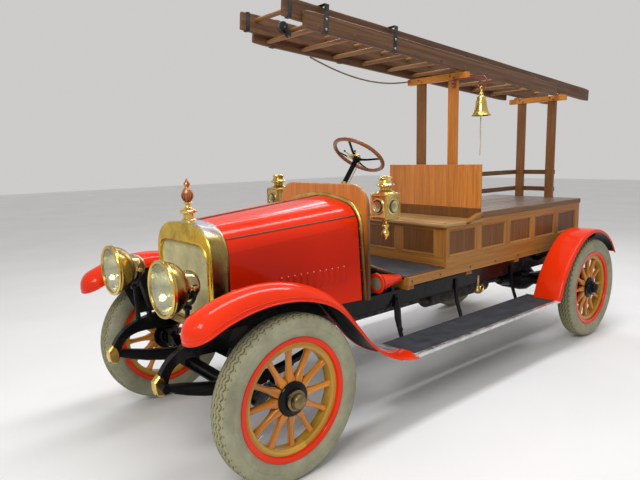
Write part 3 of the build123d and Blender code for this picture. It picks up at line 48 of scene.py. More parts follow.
# Places in metres: X is the vehicle's left, Y runs to the rear, Z is up
FRONT_AXLE = -1.9390
REAR_AXLE = FRONT_AXLE + 3.45
TYRE_R = 0.4475
TRACK_HALF = 0.736
RADIATOR_Y = FRONT_AXLE - 0.195


def behind(distance):
    """Y of a place given as metres behind the front axle."""
    return FRONT_AXLE + distance


# Camera, fitted to the photograph
SENSOR_WIDTH, IMAGE_WIDTH = 36.0, 640
CAMERA = (2.9401, FRONT_AXLE - 1.6569, 1.6904)
YAW, PITCH, ROLL = math.radians(49.4), math.radians(-8.6), math.radians(-1.2)
FOCAL_PX = 556.1
forward = Vector((-math.sin(YAW) * math.cos(PITCH), math.cos(YAW) * math.cos(PITCH), math.sin(PITCH)))
right = forward.cross(Vector((0, 0, 1))).normalized()
up = right.cross(forward)
cam_x = right * math.cos(ROLL) + up * math.sin(ROLL)
cam_y = up * math.cos(ROLL) - right * math.sin(ROLL)
camera_data = bpy.data.cameras.new("camera")
camera_data.sensor_width = SENSOR_WIDTH
camera_data.lens = FOCAL_PX / IMAGE_WIDTH * SENSOR_WIDTH
camera = bpy.data.objects.new("camera", camera_data)
camera.matrix_world = Matrix((
    (cam_x.x, cam_y.x, -forward.x, CAMERA[0]),
    (cam_x.y, cam_y.y, -forward.y, CAMERA[1]),
    (cam_x.z, cam_y.z, -forward.z, CAMERA[2]),
    (0, 0, 0, 1),
))
bpy.context.scene.collection.objects.link(camera)
bpy.context.scene.camera = camera


# Materials
RED = (0.72, 0.027, 0.002)


class Nodes:
    """A material's node tree with short calls for the nodes used here."""

    def __init__(self, name):
        self.material = bpy.data.materials.new(name)
        self.material.use_nodes = True
        self.tree = self.material.node_tree
        self.shader = self.tree.nodes["Principled BSDF"]
        self.coords = None

    def node(self, kind, **values):
        made = self.tree.nodes.new(kind)
        for key, value in values.items():
            setattr(made, key, value)
        return made

    def link(self, source, target):
        self.tree.links.new(source, target)

    def vector(self, scale=(1, 1, 1), attribute=None):
        """Object coordinates, or a stored attribute, scaled along each axis."""
        if attribute:
            source = self.node("ShaderNodeAttribute", attribute_name=attribute).outputs["Vector"]
        else:
            if self.coords is None:
                self.coords = self.node("ShaderNodeTexCoord").outputs["Object"]
            source = self.coords
        mapping = self.node("ShaderNodeMapping")
        mapping.inputs["Scale"].default_value = scale
        self.link(source, mapping.inputs["Vector"])
        return mapping.outputs["Vector"]

    def noise(self, vector, scale, detail=4.0, rough=0.55, distortion=0.0):
        """Cloudy value between 0 and 1."""
        made = self.node("ShaderNodeTexNoise")
        made.inputs["Scale"].default_value = scale
        made.inputs["Detail"].default_value = detail
        made.inputs["Roughness"].default_value = rough
        made.inputs["Distortion"].default_value = distortion
        self.link(vector, made.inputs["Vector"])
        return made.outputs["Fac"]

    def ramp(self, factor, *stops):
        """Colour ramp; each stop is (position, (r, g, b))."""
        made = self.node("ShaderNodeValToRGB")
        ramp = made.color_ramp
        while len(ramp.elements) < len(stops):
            ramp.elements.new(0.5)
        for element, (position, color) in zip(ramp.elements, stops):
            element.position = position
            element.color = (*color, 1.0)
        self.link(factor, made.inputs["Fac"])
        return made.outputs["Color"]

    def spread(self, factor, low, high, start=0.3, end=0.7):
        """Maps a 0 to 1 value from start..end to low..high."""
        made = self.node("ShaderNodeMapRange")
        for key, value in (("From Min", start), ("From Max", end), ("To Min", low), ("To Max", high)):
            made.inputs[key].default_value = value
        self.link(factor, made.inputs["Value"])
        return made.outputs["Result"]

    def height(self, bottom, top, low=0.0, high=1.0):
        """Runs from low to high between two heights."""
        split = self.node("ShaderNodeSeparateXYZ")
        self.link(self.vector(), split.inputs["Vector"])
        return self.spread(split.outputs["Z"], low, high, bottom, top)

    def mix(self, factor, first, second, blend="MIX"):
        """Blends two colours, each a value or another node's output."""
        made = self.node("ShaderNodeMix", data_type="RGBA", blend_type=blend)
        # The colour sockets share their names with the float ones, so they go by number
        for index, value in ((0, factor), (6, first), (7, second)):
            if isinstance(value, (int, float)):
                made.inputs[index].default_value = value
            elif isinstance(value, tuple):
                made.inputs[index].default_value = (*value, 1.0)
            else:
                self.link(value, made.inputs[index])
        return made.outputs[2]

    def bump(self, height, strength, distance):
        made = self.node("ShaderNodeBump")
        made.inputs["Strength"].default_value = strength
        made.inputs["Distance"].default_value = distance
        self.link(height, made.inputs["Height"])
        self.link(made.outputs["Normal"], self.shader.inputs["Normal"])

    def set(self, **values):
        """Sets inputs of the shader, with _ for each space in their names."""
        for key, value in values.items():
            socket = self.shader.inputs[key.replace("_", " ")]
            if isinstance(value, (int, float)):
                socket.default_value = value
            elif isinstance(value, tuple):
                socket.default_value = (*value, 1.0)
            else:
                self.link(value, socket)


def paint(name, color, rough=0.22, coat=0.6, vary=0.06, shine=0.5):
    """Gloss paint with faint mottling, dust in the sheen and a soft orange-peel."""
    n = Nodes(name)
    place = n.vector()
    broad = n.noise(place, 2.3, 5)
    darker = tuple(c * (1 - 2 * vary) for c in color)
    lighter = tuple(min(1.0, c * (1 + vary) + 0.001) for c in color)
    n.set(
        Base_Color=n.ramp(broad, (0.3, darker), (0.7, lighter)),
        Roughness=n.spread(n.noise(place, 14, 6, 0.65), rough * 0.75, rough * 1.6),
        Coat_Weight=coat, Coat_Roughness=0.04, Specular_IOR_Level=shine,
    )
    n.bump(n.noise(place, 260, 2), 0.02, 0.001)
    return n.material


def metal(name, color, dark, rough, patches):
    """Bare metal with tarnished patches and fine polishing marks."""
    n = Nodes(name)
    place = n.vector()
    cloud = n.noise(place, patches, 7, 0.62, 0.4)
    marks = n.noise(place, 180, 3)
    n.set(
        Base_Color=n.ramp(cloud, (0.36, dark), (0.56, color)),
        Metallic=1.0,
        Roughness=n.spread(n.noise(place, patches * 3, 6, 0.7), rough * 0.7, rough * 1.7),
    )
    n.bump(marks, 0.03, 0.001)
    return n.material


def wood(name, light, dark, axis=None, rough=0.40, coat=0.10, fine=1.0, shade_heights=None):
    """Varnished wood with long grain.

    axis is the grain's direction, or None for each plank's own; dim gives two heights of painted shade:
    the wood is darkest below the lower one and reaches its own colour at the upper one.
    """
    n = Nodes(name)
    along, across = 0.7 * fine, 22.0 * fine
    scale, attribute = (along, across, across), "grain"
    if axis:
        scale, attribute = tuple(along if letter == axis else across for letter in "xyz"), None
    place = n.vector(scale, attribute)
    figure = n.noise(place, 1.0, 6, 0.6, 1.6)
    pores = n.noise(n.vector(tuple(s * 6 for s in scale), attribute), 1.0, 3, 0.7)
    middle = tuple((a + b) / 2 for a, b in zip(light, dark))
    color = n.ramp(figure, (0.28, dark), (0.5, middle), (0.7, light))
    shade = n.ramp(pores, (0.35, (0.62, 0.60, 0.58)), (0.55, (1, 1, 1)))
    color = n.mix(0.55, color, shade, "MULTIPLY")
    # Painted shade, darkest below the lower height
    if shade_heights:
        shade = n.ramp(n.height(*shade_heights), (0.0, (0.22, 0.18, 0.15)), (1.0, (1, 1, 1)))
        color = n.mix(1.0, color, shade, "MULTIPLY")
    if axis is None:
        tone = n.node("ShaderNodeAttribute", attribute_name="tone").outputs["Fac"]
        plank = n.ramp(tone, (0.0, (0.72, 0.70, 0.68)), (1.0, (1.0, 1.0, 1.0)))
        color = n.mix(1.0, color, plank, "MULTIPLY")
    n.set(
        Base_Color=color,
        Roughness=n.spread(figure, rough * 1.2, rough * 0.8),
        Coat_Weight=coat, Coat_Roughness=0.18, Specular_IOR_Level=0.25,
    )
    n.bump(pores, 0.12, 0.0006)
    return n.material


def brass_with_painted_light(name, low, high, *tones):
    """Brass with painted light by height, from low to high in metres: painted shade low down, brighter higher
    up and, where the tones end in silver, a painted highlight at the top.
    """
    n = Nodes(name)
    place = n.vector()
    # Painted shade and highlight by height, over tarnished patches
    tone = n.ramp(n.height(low, high), *tones)
    cloud = n.ramp(n.noise(place, 6.0, 7, 0.62, 0.4), (0.36, (0.62, 0.60, 0.58)), (0.56, (1, 1, 1)))
    n.set(
        Base_Color=n.mix(1.0, tone, cloud, "MULTIPLY"), Metallic=1.0,
        Roughness=n.spread(n.noise(place, 18.0, 6, 0.7), 0.2, 0.45),
    )
    return n.material


def red_with_painted_shade():
    """Gloss red with painted shade, darkest halfway down the hood's sides, with less coat there."""
    n = Nodes("red_hood_painted_shade")
    place = n.vector()
    # Painted shade: the red darkens by height down the hood's sides
    tone = n.ramp(
        n.height(0.78, 1.32), (0.0, (0.66, 0.023, 0.002)), (0.42, (0.50, 0.014, 0.002)),
        (0.75, (0.56, 0.018, 0.002)), (1.0, RED),
    )
    broad = n.ramp(n.noise(place, 2.3, 5), (0.3, (0.90, 0.90, 0.90)), (0.7, (1, 1, 1)))
    n.set(
        Base_Color=n.mix(1.0, tone, broad, "MULTIPLY"),
        Roughness=n.spread(n.noise(place, 14, 6, 0.65), 0.14, 0.28),
        Coat_Weight=n.height(1.10, 1.34, 0.14, 0.34), Coat_Roughness=0.04, Specular_IOR_Level=0.08
    )
    n.bump(n.noise(place, 260, 2), 0.02, 0.001)
    return n.material


MATERIALS = {
    "red": paint("red_gloss", RED, 0.18, 0.32, 0.06, 0.08), "red_hood_painted_shade": red_with_painted_shade(),
    # Darker copy of the red as painted shade, for the louvres and edges on the hood's sides
    "red_shade": paint("red_painted_shade", (0.52, 0.016, 0.002), 0.18, 0.22, 0.10, 0.08),
    "black": paint("black_gloss", (0.003, 0.003, 0.0035), 0.14, 0.12, 0.1, 0.1),
    "frame_black": paint("frame_black", (0.005, 0.005, 0.006), 0.34, 0.08, 0.2, 0.14),
    "brass": metal("brass_polished", (0.80, 0.57, 0.17), (0.48, 0.31, 0.07), 0.17, 4.0),
    # Radiator shell's sides: painted shade low down, a silver painted highlight along the top
    "brass_side_painted_light": brass_with_painted_light(
        "brass_shell_side_painted_light", 0.75, 1.34, (0.0, (0.17, 0.070, 0.026)), (0.40, (0.17, 0.085, 0.032)),
        (0.62, (0.26, 0.18, 0.065)), (0.86, (0.40, 0.29, 0.09)), (0.96, (0.66, 0.66, 0.66))
    ),
    # Hood arch moulding: painted shade down its sides
    "brass_arch_painted_shade": brass_with_painted_light(
        "brass_hood_arch_painted_shade", 0.75, 1.42, (0.0, (0.16, 0.095, 0.035)), (0.62, (0.24, 0.15, 0.05)),
        (0.80, (0.78, 0.55, 0.15))
    ),
    "iron_gloss": paint("iron_gloss", (0.004, 0.004, 0.0045), 0.2, 0.10, 0.1, 0.14),
    "brass_front": metal("brass_yellow", (0.84, 0.56, 0.075), (0.46, 0.28, 0.030), 0.25, 7.0),
    "brass_drum": metal("brass_lamp_drum", (0.50, 0.40, 0.24), (0.24, 0.15, 0.07), 0.16, 5.0),
    "brass_lamp": metal("brass_lamp_shell", (0.46, 0.32, 0.10), (0.17, 0.10, 0.035), 0.22, 5.0),
    "brass_dull": metal("brass_dull", (0.27, 0.205, 0.10), (0.13, 0.095, 0.045), 0.38, 9.0),
    "bracket_red": paint("bracket_maroon", (0.22, 0.018, 0.012), 0.4, 0.2),
    "brass_old": metal("brass_tarnished", (0.62, 0.45, 0.17), (0.30, 0.19, 0.07), 0.33, 9.0),
    "steel": metal("bare_steel", (0.50, 0.50, 0.50), (0.28, 0.27, 0.25), 0.35, 12.0),
    "copper": metal("aged_copper", (0.62, 0.27, 0.12), (0.28, 0.12, 0.06), 0.3, 10.0),
    "aluminium": metal("edge_aluminium", (0.72, 0.73, 0.74), (0.50, 0.50, 0.50), 0.33, 8.0),
    "iron": metal("cast_iron", (0.10, 0.10, 0.10), (0.05, 0.045, 0.04), 0.55, 14.0),
    "oak": wood("oak_frame", (0.50, 0.225, 0.045), (0.30, 0.120, 0.022)),
    "panel": wood("panel_wood", (0.255, 0.102, 0.026), (0.135, 0.050, 0.013), fine=1.5, coat=0.0),
    "orange": wood("orange_wood", (0.74, 0.29, 0.045), (0.48, 0.155, 0.020), fine=0.9),
    "orange_z": wood("orange_wood_upright", (0.70, 0.265, 0.050), (0.46, 0.145, 0.024), "z", 0.3, 0.3),
    # Dash board wood with painted shade on its lower part
    "dash_wood_painted_shade": wood(
        "dash_wood_painted_shade", (0.70, 0.265, 0.050), (0.46, 0.145, 0.024), "z", 0.3, 0.3, shade_heights=(1.02, 1.34)
    ),
    "dash_edge": wood(
        "dash_edge_wood_painted_shade", (0.60, 0.29, 0.09), (0.36, 0.15, 0.04), "z", 0.35, 0.2, shade_heights=(1.10, 1.44)
    ),
    "seat_top": wood("worn_seat_wood", (0.56, 0.36, 0.155), (0.38, 0.205, 0.07), fine=0.9, rough=0.5),
    # Darker copy of the post wood as painted shade, for the far and rear posts
    "post_dark": wood("shaded_post_wood", (0.31, 0.130, 0.037), (0.17, 0.063, 0.018)),
    "deck": wood("deck_wood", (0.21, 0.140, 0.10), (0.11, 0.070, 0.048), rough=0.4, coat=0.15),
    "ladder": wood("ladder_wood", (0.21, 0.105, 0.052), (0.09, 0.040, 0.020), rough=0.5, coat=0.05),
    "rung": wood("rung_wood", (0.36, 0.19, 0.07), (0.19, 0.09, 0.03), rough=0.45, coat=0.1),
    "dark_rail": wood("dark_rail_wood", (0.22, 0.115, 0.045), (0.11, 0.050, 0.020)),
    "spoke": wood("spoke_wood", (0.84, 0.32, 0.022), (0.46, 0.14, 0.010), rough=0.2, coat=0.5),
    "felloe": wood("felloe_wood", (0.70, 0.41, 0.055), (0.45, 0.24, 0.028), rough=0.35, coat=0.2),
    "steer": wood("steering_wood", (0.38, 0.14, 0.05), (0.16, 0.05, 0.018), rough=0.3, coat=0.4)
}


def tyre_rubber():
    """Old pale rubber, dusty and stained."""
    n = Nodes("tyre_rubber")
    place = n.vector()
    dust = n.noise(place, 7, 8, 0.7)
    stain = n.noise(place, 2.2, 4)
    color = n.ramp(dust, (0.32, (0.218, 0.214, 0.141)), (0.7, (0.366, 0.358, 0.240)))
    color = n.mix(0.5, color, n.ramp(stain, (0.35, (0.78, 0.78, 0.78)), (0.65, (1, 1, 1))), "MULTIPLY")
    n.set(Base_Color=color, Roughness=n.spread(dust, 0.62, 0.85), Specular_IOR_Level=0.3)
    n.bump(n.noise(place, 120, 4), 0.12, 0.001)
    return n.material


def rubber_mat(name):
    """Black rubber with scuffs."""
    n = Nodes(name)
    place = n.vector()
    scuff = n.noise(place, 9, 8, 0.75)
    n.set(
        Base_Color=n.ramp(scuff, (0.35, (0.026, 0.028, 0.033)), (0.75, (0.075, 0.080, 0.092))),
        Roughness=n.spread(scuff, 0.45, 0.7), Specular_IOR_Level=0.35,
    )
    n.bump(n.noise(place, 300, 3), 0.15, 0.0006)
    return n.material


def glass(name, tint):
    """Clear glass with smears."""
    n = Nodes(name)
    smear = n.noise(n.vector(), 6, 5)
    n.set(Base_Color=tint, Roughness=n.spread(smear, 0.02, 0.06), Transmission_Weight=1.0, IOR=1.48)
    return n.material


def reflector():
    """Yellowed silver of a lamp's reflector."""
    n = Nodes("lamp_reflector")
    place = n.vector()
    n.set(
        Base_Color=n.ramp(n.noise(place, 9, 6), (0.3, (0.50, 0.46, 0.28)), (0.7, (0.78, 0.75, 0.52))),
        Metallic=1.0, Roughness=n.spread(n.noise(place, 20, 4), 0.12, 0.3),
    )
    return n.material


def core_metal():
    """Stained metal of the radiator's cells."""
    n = Nodes("radiator_mesh")
    place = n.vector()
    stain = n.noise(place, 6, 7, 0.7)
    n.set(
        Base_Color=n.ramp(stain, (0.3, (0.50, 0.46, 0.25)), (0.7, (0.80, 0.76, 0.47))),
        Metallic=0.3, Roughness=n.spread(stain, 0.45, 0.7),
    )
    return n.material


def cloth_cord(name, light, dark):
    """Fibres of a cord or rope."""
    n = Nodes(name)
    place = n.vector()
    fibre = n.noise(n.vector((420, 420, 160)), 1.0, 4, 0.6)
    n.set(
        Base_Color=n.ramp(n.mix(0.5, fibre, n.noise(place, 12, 4)), (0.3, dark), (0.7, light)),
        Roughness=0.9, Sheen_Weight=0.3,
    )
    n.bump(fibre, 0.4, 0.001)
    return n.material


MATERIALS.update({
    "tread": paint("tread_rubber", (0.275, 0.262, 0.155), 0.75, 0.0, 0.14, 0.3),
    "groove_painted_shade": paint("tread_groove_painted_shade", (0.125, 0.118, 0.068), 0.85, 0.0, 0.2, 0.2),
    "tyre": tyre_rubber(), "rubber": rubber_mat("board_rubber"), "mat": rubber_mat("floor_mat"),
    "glass": glass("lamp_glass", (0.92, 0.93, 0.80)), "bullseye": glass("bullseye_glass", (0.80, 0.88, 0.80)),
    "reflector": reflector(), "core": core_metal(),
    # Near-black used as painted shade in holes and deep gaps: radiator cell backs, lamp vents, the eyes of
    # the dumb-iron caps
    "painted_shade_void": paint("painted_shade_black", (0.004, 0.004, 0.004), 0.8, 0.0, 0.1, 0.1),
    # Dark red for the louvres' mouths: painted shade
    "louvre_gap_painted_shade": paint("louvre_gap_painted_shade", (0.28, 0.010, 0.003), 0.4, 0.1, 0.1, 0.1),
    # Light pink-red for the louvres' top ends: a painted glint
    "louvre_painted_glint": paint("louvre_painted_glint", (0.86, 0.30, 0.20), 0.15, 0.6, 0.1, 0.5),
    "cream": paint("cream_enamel", (0.24, 0.23, 0.14), 0.35, 0.2),
    "hinge": paint("hinge_brown", (0.085, 0.030, 0.016), 0.4, 0.2),
    "cord": cloth_cord("bell_cord_cloth", (0.62, 0.58, 0.48), (0.36, 0.32, 0.24)),
    "rope": cloth_cord("ladder_rope_hemp", (0.30, 0.23, 0.15), (0.12, 0.09, 0.06)),
})


# Mesh building
def between(a, b, t):
    return a + (b - a) * t


def mm(*points):
    """Points written in millimetres, in metres."""
    return [tuple(value / 1000 for value in point) for point in points]


def circle(count):
    """Cosine and sine of equal steps round a circle."""
    return [(math.cos(math.tau * k / count), math.sin(math.tau * k / count)) for k in range(count)]


def superellipse(width, depth, power, sides):
    """Points of a rounded rectangle of that size."""
    return [
        (
            width / 2 * math.copysign(abs(c) ** (2 / power), c),
            depth / 2 * math.copysign(abs(s) ** (2 / power), s)
        )
        for c, s in circle(sides)
    ]


def axis_place(origin, direction, spin=None):
    """Matrix that puts local Z along direction at origin; spin is a hint for local X."""
    z = Vector(direction).normalized()
    hint = Vector(spin) if spin else (Vector((1, 0, 0)) if abs(z.x) < 0.9 else Vector((0, 1, 0)))
    x = (hint - z * hint.dot(z)).normalized()
    y = z.cross(x)
    return Matrix((
        (x.x, y.x, z.x, origin[0]), (x.y, y.y, z.y, origin[1]), (x.z, y.z, z.z, origin[2]), (0, 0, 0, 1),
    ))


class Shape:
    """Collects faces with a material, each plank's own grain coordinates and a tone."""

    def __init__(self, *materials):
        self.materials = [MATERIALS[m] for m in materials]
        self.verts, self.faces, self.slots, self.grain, self.tone = [], [], [], [], []

    def add(self, verts, faces, slot=0, place=None, grain=None, tone=None):
        base = len(self.verts)
        tone = rng.random() if tone is None else tone
        for index, vert in enumerate(verts):
            vert = Vector(vert)
            self.grain.append(grain[index] if grain else tuple(vert))
            self.tone.append(tone)
            self.verts.append(place @ vert if place else vert)
        self.faces += [tuple(base + i for i in face) for face in faces]
        self.slots += [slot] * len(faces)
        return self

    def plank(self, low, high, along="y", slot=0, place=None, tone=None):
        """Box from corner to corner, with its grain along one axis."""
        corners = [
            (x, y, z) for x in (low[0], high[0]) for y in (low[1], high[1]) for z in (low[2], high[2])
        ]
        faces = ((0, 1, 3, 2), (4, 6, 7, 5), (0, 4, 5, 1), (2, 3, 7, 6), (0, 2, 6, 4), (1, 5, 7, 3))
        shift = [rng.uniform(0, 9) for _ in range(3)]
        order = {"x": (0, 1, 2), "y": (1, 0, 2), "z": (2, 0, 1)}[along]
        grain = [tuple(c[i] + s for i, s in zip(order, shift)) for c in corners]
        return self.add(corners, faces, slot, place, grain, tone)

    def rings(
        self, rings, slot=0, place=None, closed=True, caps=(True, True), grain=None, tone=None, loop=False
    ):
        """Skin over rings of equal point counts."""
        count = len(rings[0])
        verts = [p for ring in rings for p in ring]
        faces = []
        spans = len(rings) if loop else len(rings) - 1
        for i in range(spans):
            j = (i + 1) % len(rings)
            for k in range(count if closed else count - 1):
                after = (k + 1) % count
                faces.append((i * count + k, i * count + after, j * count + after, j * count + k))
        if closed and not loop:
            if caps[0]:
                faces.append(tuple(reversed(range(count))))
            if caps[1]:
                faces.append(tuple(range((len(rings) - 1) * count, len(rings) * count)))
        return self.add(verts, faces, slot, place, grain, tone)

    def lathe(self, profile, place=None, slot=0, sides=32, ring=False):
        """Turns a profile of (radius, height) about local Z; ring joins its last point to its first."""
        verts = [(r * c, r * s, h) for c, s in circle(sides) for r, h in profile]
        faces = []
        count = len(profile)
        for i in range(sides):
            j = (i + 1) % sides
            for k in range(count if ring else count - 1):
                after = (k + 1) % count
                face = [i * count + k, j * count + k, j * count + after, i * count + after]
                # A point on the axis gives a triangle
                if profile[k][0] == 0:
                    face.remove(j * count + k)
                if profile[after][0] == 0:
                    face.remove(j * count + after)
                if len(face) > 2:
                    faces.append(tuple(face))
        return self.add(verts, faces, slot, place)

    def tube(self, points, radius, slot=0, sides=10, place=None, closed=False):
        """Round bar through points; radius may be a list."""
        points = [Vector(p) for p in points]
        rings, across = [], None
        last = len(points) - 1
        for i, point in enumerate(points):
            if closed:
                tangent = points[(i + 1) % len(points)] - points[i - 1]
            else:
                tangent = points[min(i + 1, last)] - points[max(i - 1, 0)]
            tangent.normalize()
            if across is None:
                across = Vector((0, 0, 1)) if abs(tangent.z) < 0.8 else Vector((1, 0, 0))
            across = (across - tangent * across.dot(tangent)).normalized()
            other = tangent.cross(across)
            r = radius[i] if isinstance(radius, list) else radius
            rings.append([point + across * (r * c) + other * (r * s) for c, s in circle(sides)])
        return self.rings(rings, slot, place, loop=closed)

    def bar(self, profile, axis, start, stop, slot=0, place=None, **kind):
        """Straight bar from start to stop along X or Y, with a profile of (y, z) or (x, z)."""
        ends = [[(at, a, b) if axis == "x" else (a, at, b) for a, b in profile] for at in (start, stop)]
        return self.rings(ends, slot, place, **kind)

    def side_plank(self, sign, low, high, *kind):
        """Plank on the side that sign names, with corners written for the left side."""
        x0, x1 = sorted((sign * low[0], sign * high[0]))
        return self.plank((x0, *low[1:]), (x1, *high[1:]), *kind)

    def bolt(self, at, normal, radius=0.008, height=0.006, slot=0, sides=6, place=None):
        """Bolt head on a washer, or a nut with another count of sides."""
        spot = axis_place(at, normal)
        if place:
            spot = place @ spot
        self.lathe([
            (radius * 1.35, 0), (radius * 1.35, 0.0015), (radius * 1.3, 0.002), (0, 0.002)
        ], spot, slot, 14)
        turn = Matrix.Rotation(rng.uniform(0, 1), 4, "Z")
        return self.lathe([
            (radius, 0.0015), (radius, height * 0.85), (radius * 0.85, height), (0, height)
        ], spot @ turn, slot, sides)

    def rivet(self, at, normal, radius=0.006, slot=0):
        """Domed rivet head."""
        profile = [(radius * math.cos(a), radius * 0.6 * math.sin(a)) for a in (0, 0.5, 1.0)]
        return self.lathe(profile + [(0, radius * 0.6)], axis_place(at, normal), slot, 10)

    def mirror(self):
        """Adds the same shape on the other side of the vehicle."""
        count = len(self.verts)
        self.verts += [Vector((-v.x, v.y, v.z)) for v in self.verts]
        self.grain += [(g[0] + 3.7, g[1], g[2]) for g in self.grain]
        self.tone += [1 - t for t in self.tone]
        self.faces += [tuple(count + i for i in reversed(face)) for face in self.faces]
        self.slots += list(self.slots)
        return self

    def build(self, name, body, slot, replaces=(), bevel=0.0, angle=35):
        """Makes the piece, which rides on body and stands in for the nodes that it replaces."""
        mesh = bpy.data.meshes.new(name)
        mesh.from_pydata(self.verts, [], self.faces)
        for material in self.materials:
            mesh.materials.append(material)
        mesh.polygons.foreach_set("material_index", self.slots)
        grain = mesh.attributes.new("grain", "FLOAT_VECTOR", "POINT")
        grain.data.foreach_set("vector", [c for g in self.grain for c in g])
        tone = mesh.attributes.new("tone", "FLOAT", "POINT")
        tone.data.foreach_set("value", self.tone)
        work = bmesh.new()
        work.from_mesh(mesh)
        bmesh.ops.recalc_face_normals(work, faces=work.faces)
        work.to_mesh(mesh)
        work.free()
        finish_piece(mesh, name, body, replaces, angle, bevel, 40)


def finish_piece(mesh, name, body, replaces, sharp, bevel, bevel_from):
    """Object of a mesh, with edges rounded where they are sharper than bevel_from degrees."""
    mesh.shade_smooth()
    mesh.set_sharp_from_angle(angle=math.radians(sharp))
    obj = bpy.data.objects.new(name, mesh)
    bpy.context.scene.collection.objects.link(obj)
    if bevel:
        rounding = obj.modifiers.new("bevel", "BEVEL")
        rounding.width = bevel
        rounding.segments = 2
        rounding.limit_method = "ANGLE"
        rounding.angle_limit = math.radians(bevel_from)
        rounding.harden_normals = True
    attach(obj, body)
    if replaces:
        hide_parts(*replaces)


def dress(node, material):
    """Gives a CAD node a better material."""
    data = NODES[node].data
    data.materials.clear()
    data.materials.append(MATERIALS[material])


def arc3(first, middle, last, count):
    """Points of the circle through three points of a plane, from first to last."""
    (ax, ay), (bx, by), (cx, cy) = first, middle, last
    d = 2 * (ax * (by - cy) + bx * (cy - ay) + cx * (ay - by))
    ux = (
        (ax * ax + ay * ay) * (by - cy) + (bx * bx + by * by) * (cy - ay) + (cx * cx + cy * cy) * (ay - by)
    ) / d
    uy = (
        (ax * ax + ay * ay) * (cx - bx) + (bx * bx + by * by) * (ax - cx) + (cx * cx + cy * cy) * (bx - ax)
    ) / d
    radius = math.hypot(ax - ux, ay - uy)
    start, mid, end = (math.atan2(y - uy, x - ux) for x, y in (first, middle, last))
    sweep = (end - start) % math.tau
    if (mid - start) % math.tau > sweep:
        sweep -= math.tau
    return [
        (ux + radius * math.cos(start + sweep * k / count), uy + radius * math.sin(start + sweep * k / count))
        for k in range(count + 1)
    ]


# Cords
def cord_curve(name, points, radius, material, length, **kind):
    """Cord through points in metres, from where it is held to its far end."""
    curve = bpy.data.curves.new(name, "CURVE")
    curve.dimensions = "3D"
    curve.bevel_depth = radius
    curve.bevel_resolution = 4
    curve.use_fill_caps = True
    spline = curve.splines.new("NURBS")
    spline.points.add(len(points) - 1)
    for point, place in zip(spline.points, points):
        point.co = (*place, 1.0)
    spline.order_u = 3
    spline.use_endpoint_u = True
    spline.resolution_u = 12
    curve.materials.append(MATERIALS[material])
    obj = bpy.data.objects.new(name, curve)
    bpy.context.scene.collection.objects.link(obj)
    return obj


BELL_X, BELL_Y = 0.442, behind(2.139)
CORD_TOP = 1.948
cord = cord_curve(
    "pull_cord",
    [(BELL_X + x, BELL_Y + y, CORD_TOP + z) for x, y, z in (
        (0, 0, 0), (0, 0, -0.045), (-0.003, 0.002, -0.093), (-0.001, 0.004, -0.141),
        (0.003, 0.002, -0.189), (0.001, -0.002, -0.237), (-0.002, 0, -0.280),
    )],
    0.005, "cord", 0.281, far_end="bare", stiffness="limp", lay="hanging",
)
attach(cord, "bell")
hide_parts("bell_cord")
rope = cord_curve(
    "hoisting_rope",
    [(x, behind(y), z) for x, y, z in (
        (-0.262, 1.030, 2.398), (-0.264, 1.110, 2.374), (-0.266, 1.270, 2.330), (-0.267, 1.460, 2.292),
        (-0.268, 1.660, 2.270), (-0.269, 1.850, 2.268), (-0.270, 2.030, 2.284), (-0.271, 2.1475, 2.302),
    )],
    0.006, "rope", 1.134, far_end="object", stiffness="limp", lay="hanging",
)
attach(rope, "chassis")
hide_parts("ladder_rope")


# Wheels: tyre with a zigzag tread, wooden spokes and felloe, red rim, black hub and a cap
AROUND = 480
TREAD_POINTS = 27
TREAD_HALF = 0.055
GROOVES, GROOVE_DEPTH = (-0.66, -0.22, 0.22, 0.66), 0.0050
SIDEWALL = mm(
    (59, 429), (62.8, 420), (65.5, 408), (67.2, 393), (67.5, 386), (66.2, 384.5), (66.2, 381.5),
    (67.5, 380), (66.8, 366), (64, 352), (58, 340), (50, 332), (46, 328)
)


def tyre_piece(node, place, body):
    """Tyre with a tread of waving grooves, whose faces take a darker rubber as painted shade; section points
    are (axial, radius, share of the tread).
    """
    section = [(-w, r, None) for w, r in reversed(SIDEWALL)]
    for k in range(TREAD_POINTS):
        u = 2 * k / (TREAD_POINTS - 1) - 1
        section.append((u * TREAD_HALF, TYRE_R - 0.004 * u * u - 0.009 * u ** 4, u))
    section += [(w, r, None) for w, r in SIDEWALL]
    count = len(section)
    verts, low = [], []
    for i, (c, s) in enumerate(circle(AROUND)):
        phase = i % 8
        wave = abs(phase / 4 - 1) * 2 - 1
        for w, r, u in section:
            cut = False
            if u is not None:
                cut = any(abs(u - line - 0.11 * wave) < 0.06 for line in GROOVES)
                cut = cut or (abs(u) > 0.86 and phase == 0)
            r -= GROOVE_DEPTH if cut else 0.0
            low.append(cut)
            verts.append((r * c, r * s, w))
    faces, slots = [], []
    first = len(SIDEWALL)
    for i in range(AROUND):
        j = (i + 1) % AROUND
        for k in range(count):
            after = (k + 1) % count
            faces.append((i * count + k, j * count + k, j * count + after, i * count + after))
            tread = first <= k < first + TREAD_POINTS - 1
            # Faces in the cut grooves take the darker rubber: painted shade
            slots.append(0 if not tread else 2 if sum(low[q] for q in faces[-1]) > 1 else 1)
    shape = Shape("tyre", "tread", "groove_painted_shade")
    shape.add(verts, faces, 0, place)
    shape.slots = slots
    shape.build(f"{node}_rubber", body, "tyre", (node,), angle=30)


SPOKES, FELLOES = 12, 6
# Spoke: distance from the axle, axial size, size across, power of the rounded section
SPOKE_SECTIONS = (
    (0.072, 0.052, 0.036, 9), (0.088, 0.052, 0.044, 8), (0.106, 0.050, 0.049, 6), (0.122, 0.046, 0.043, 4),
    (0.142, 0.041, 0.035, 2.8), (0.175, 0.038, 0.031, 2.3), (0.225, 0.037, 0.030, 2.3),
    (0.252, 0.039, 0.033, 2.8), (0.262, 0.041, 0.038, 3.6), (0.271, 0.041, 0.038, 3.6)
)


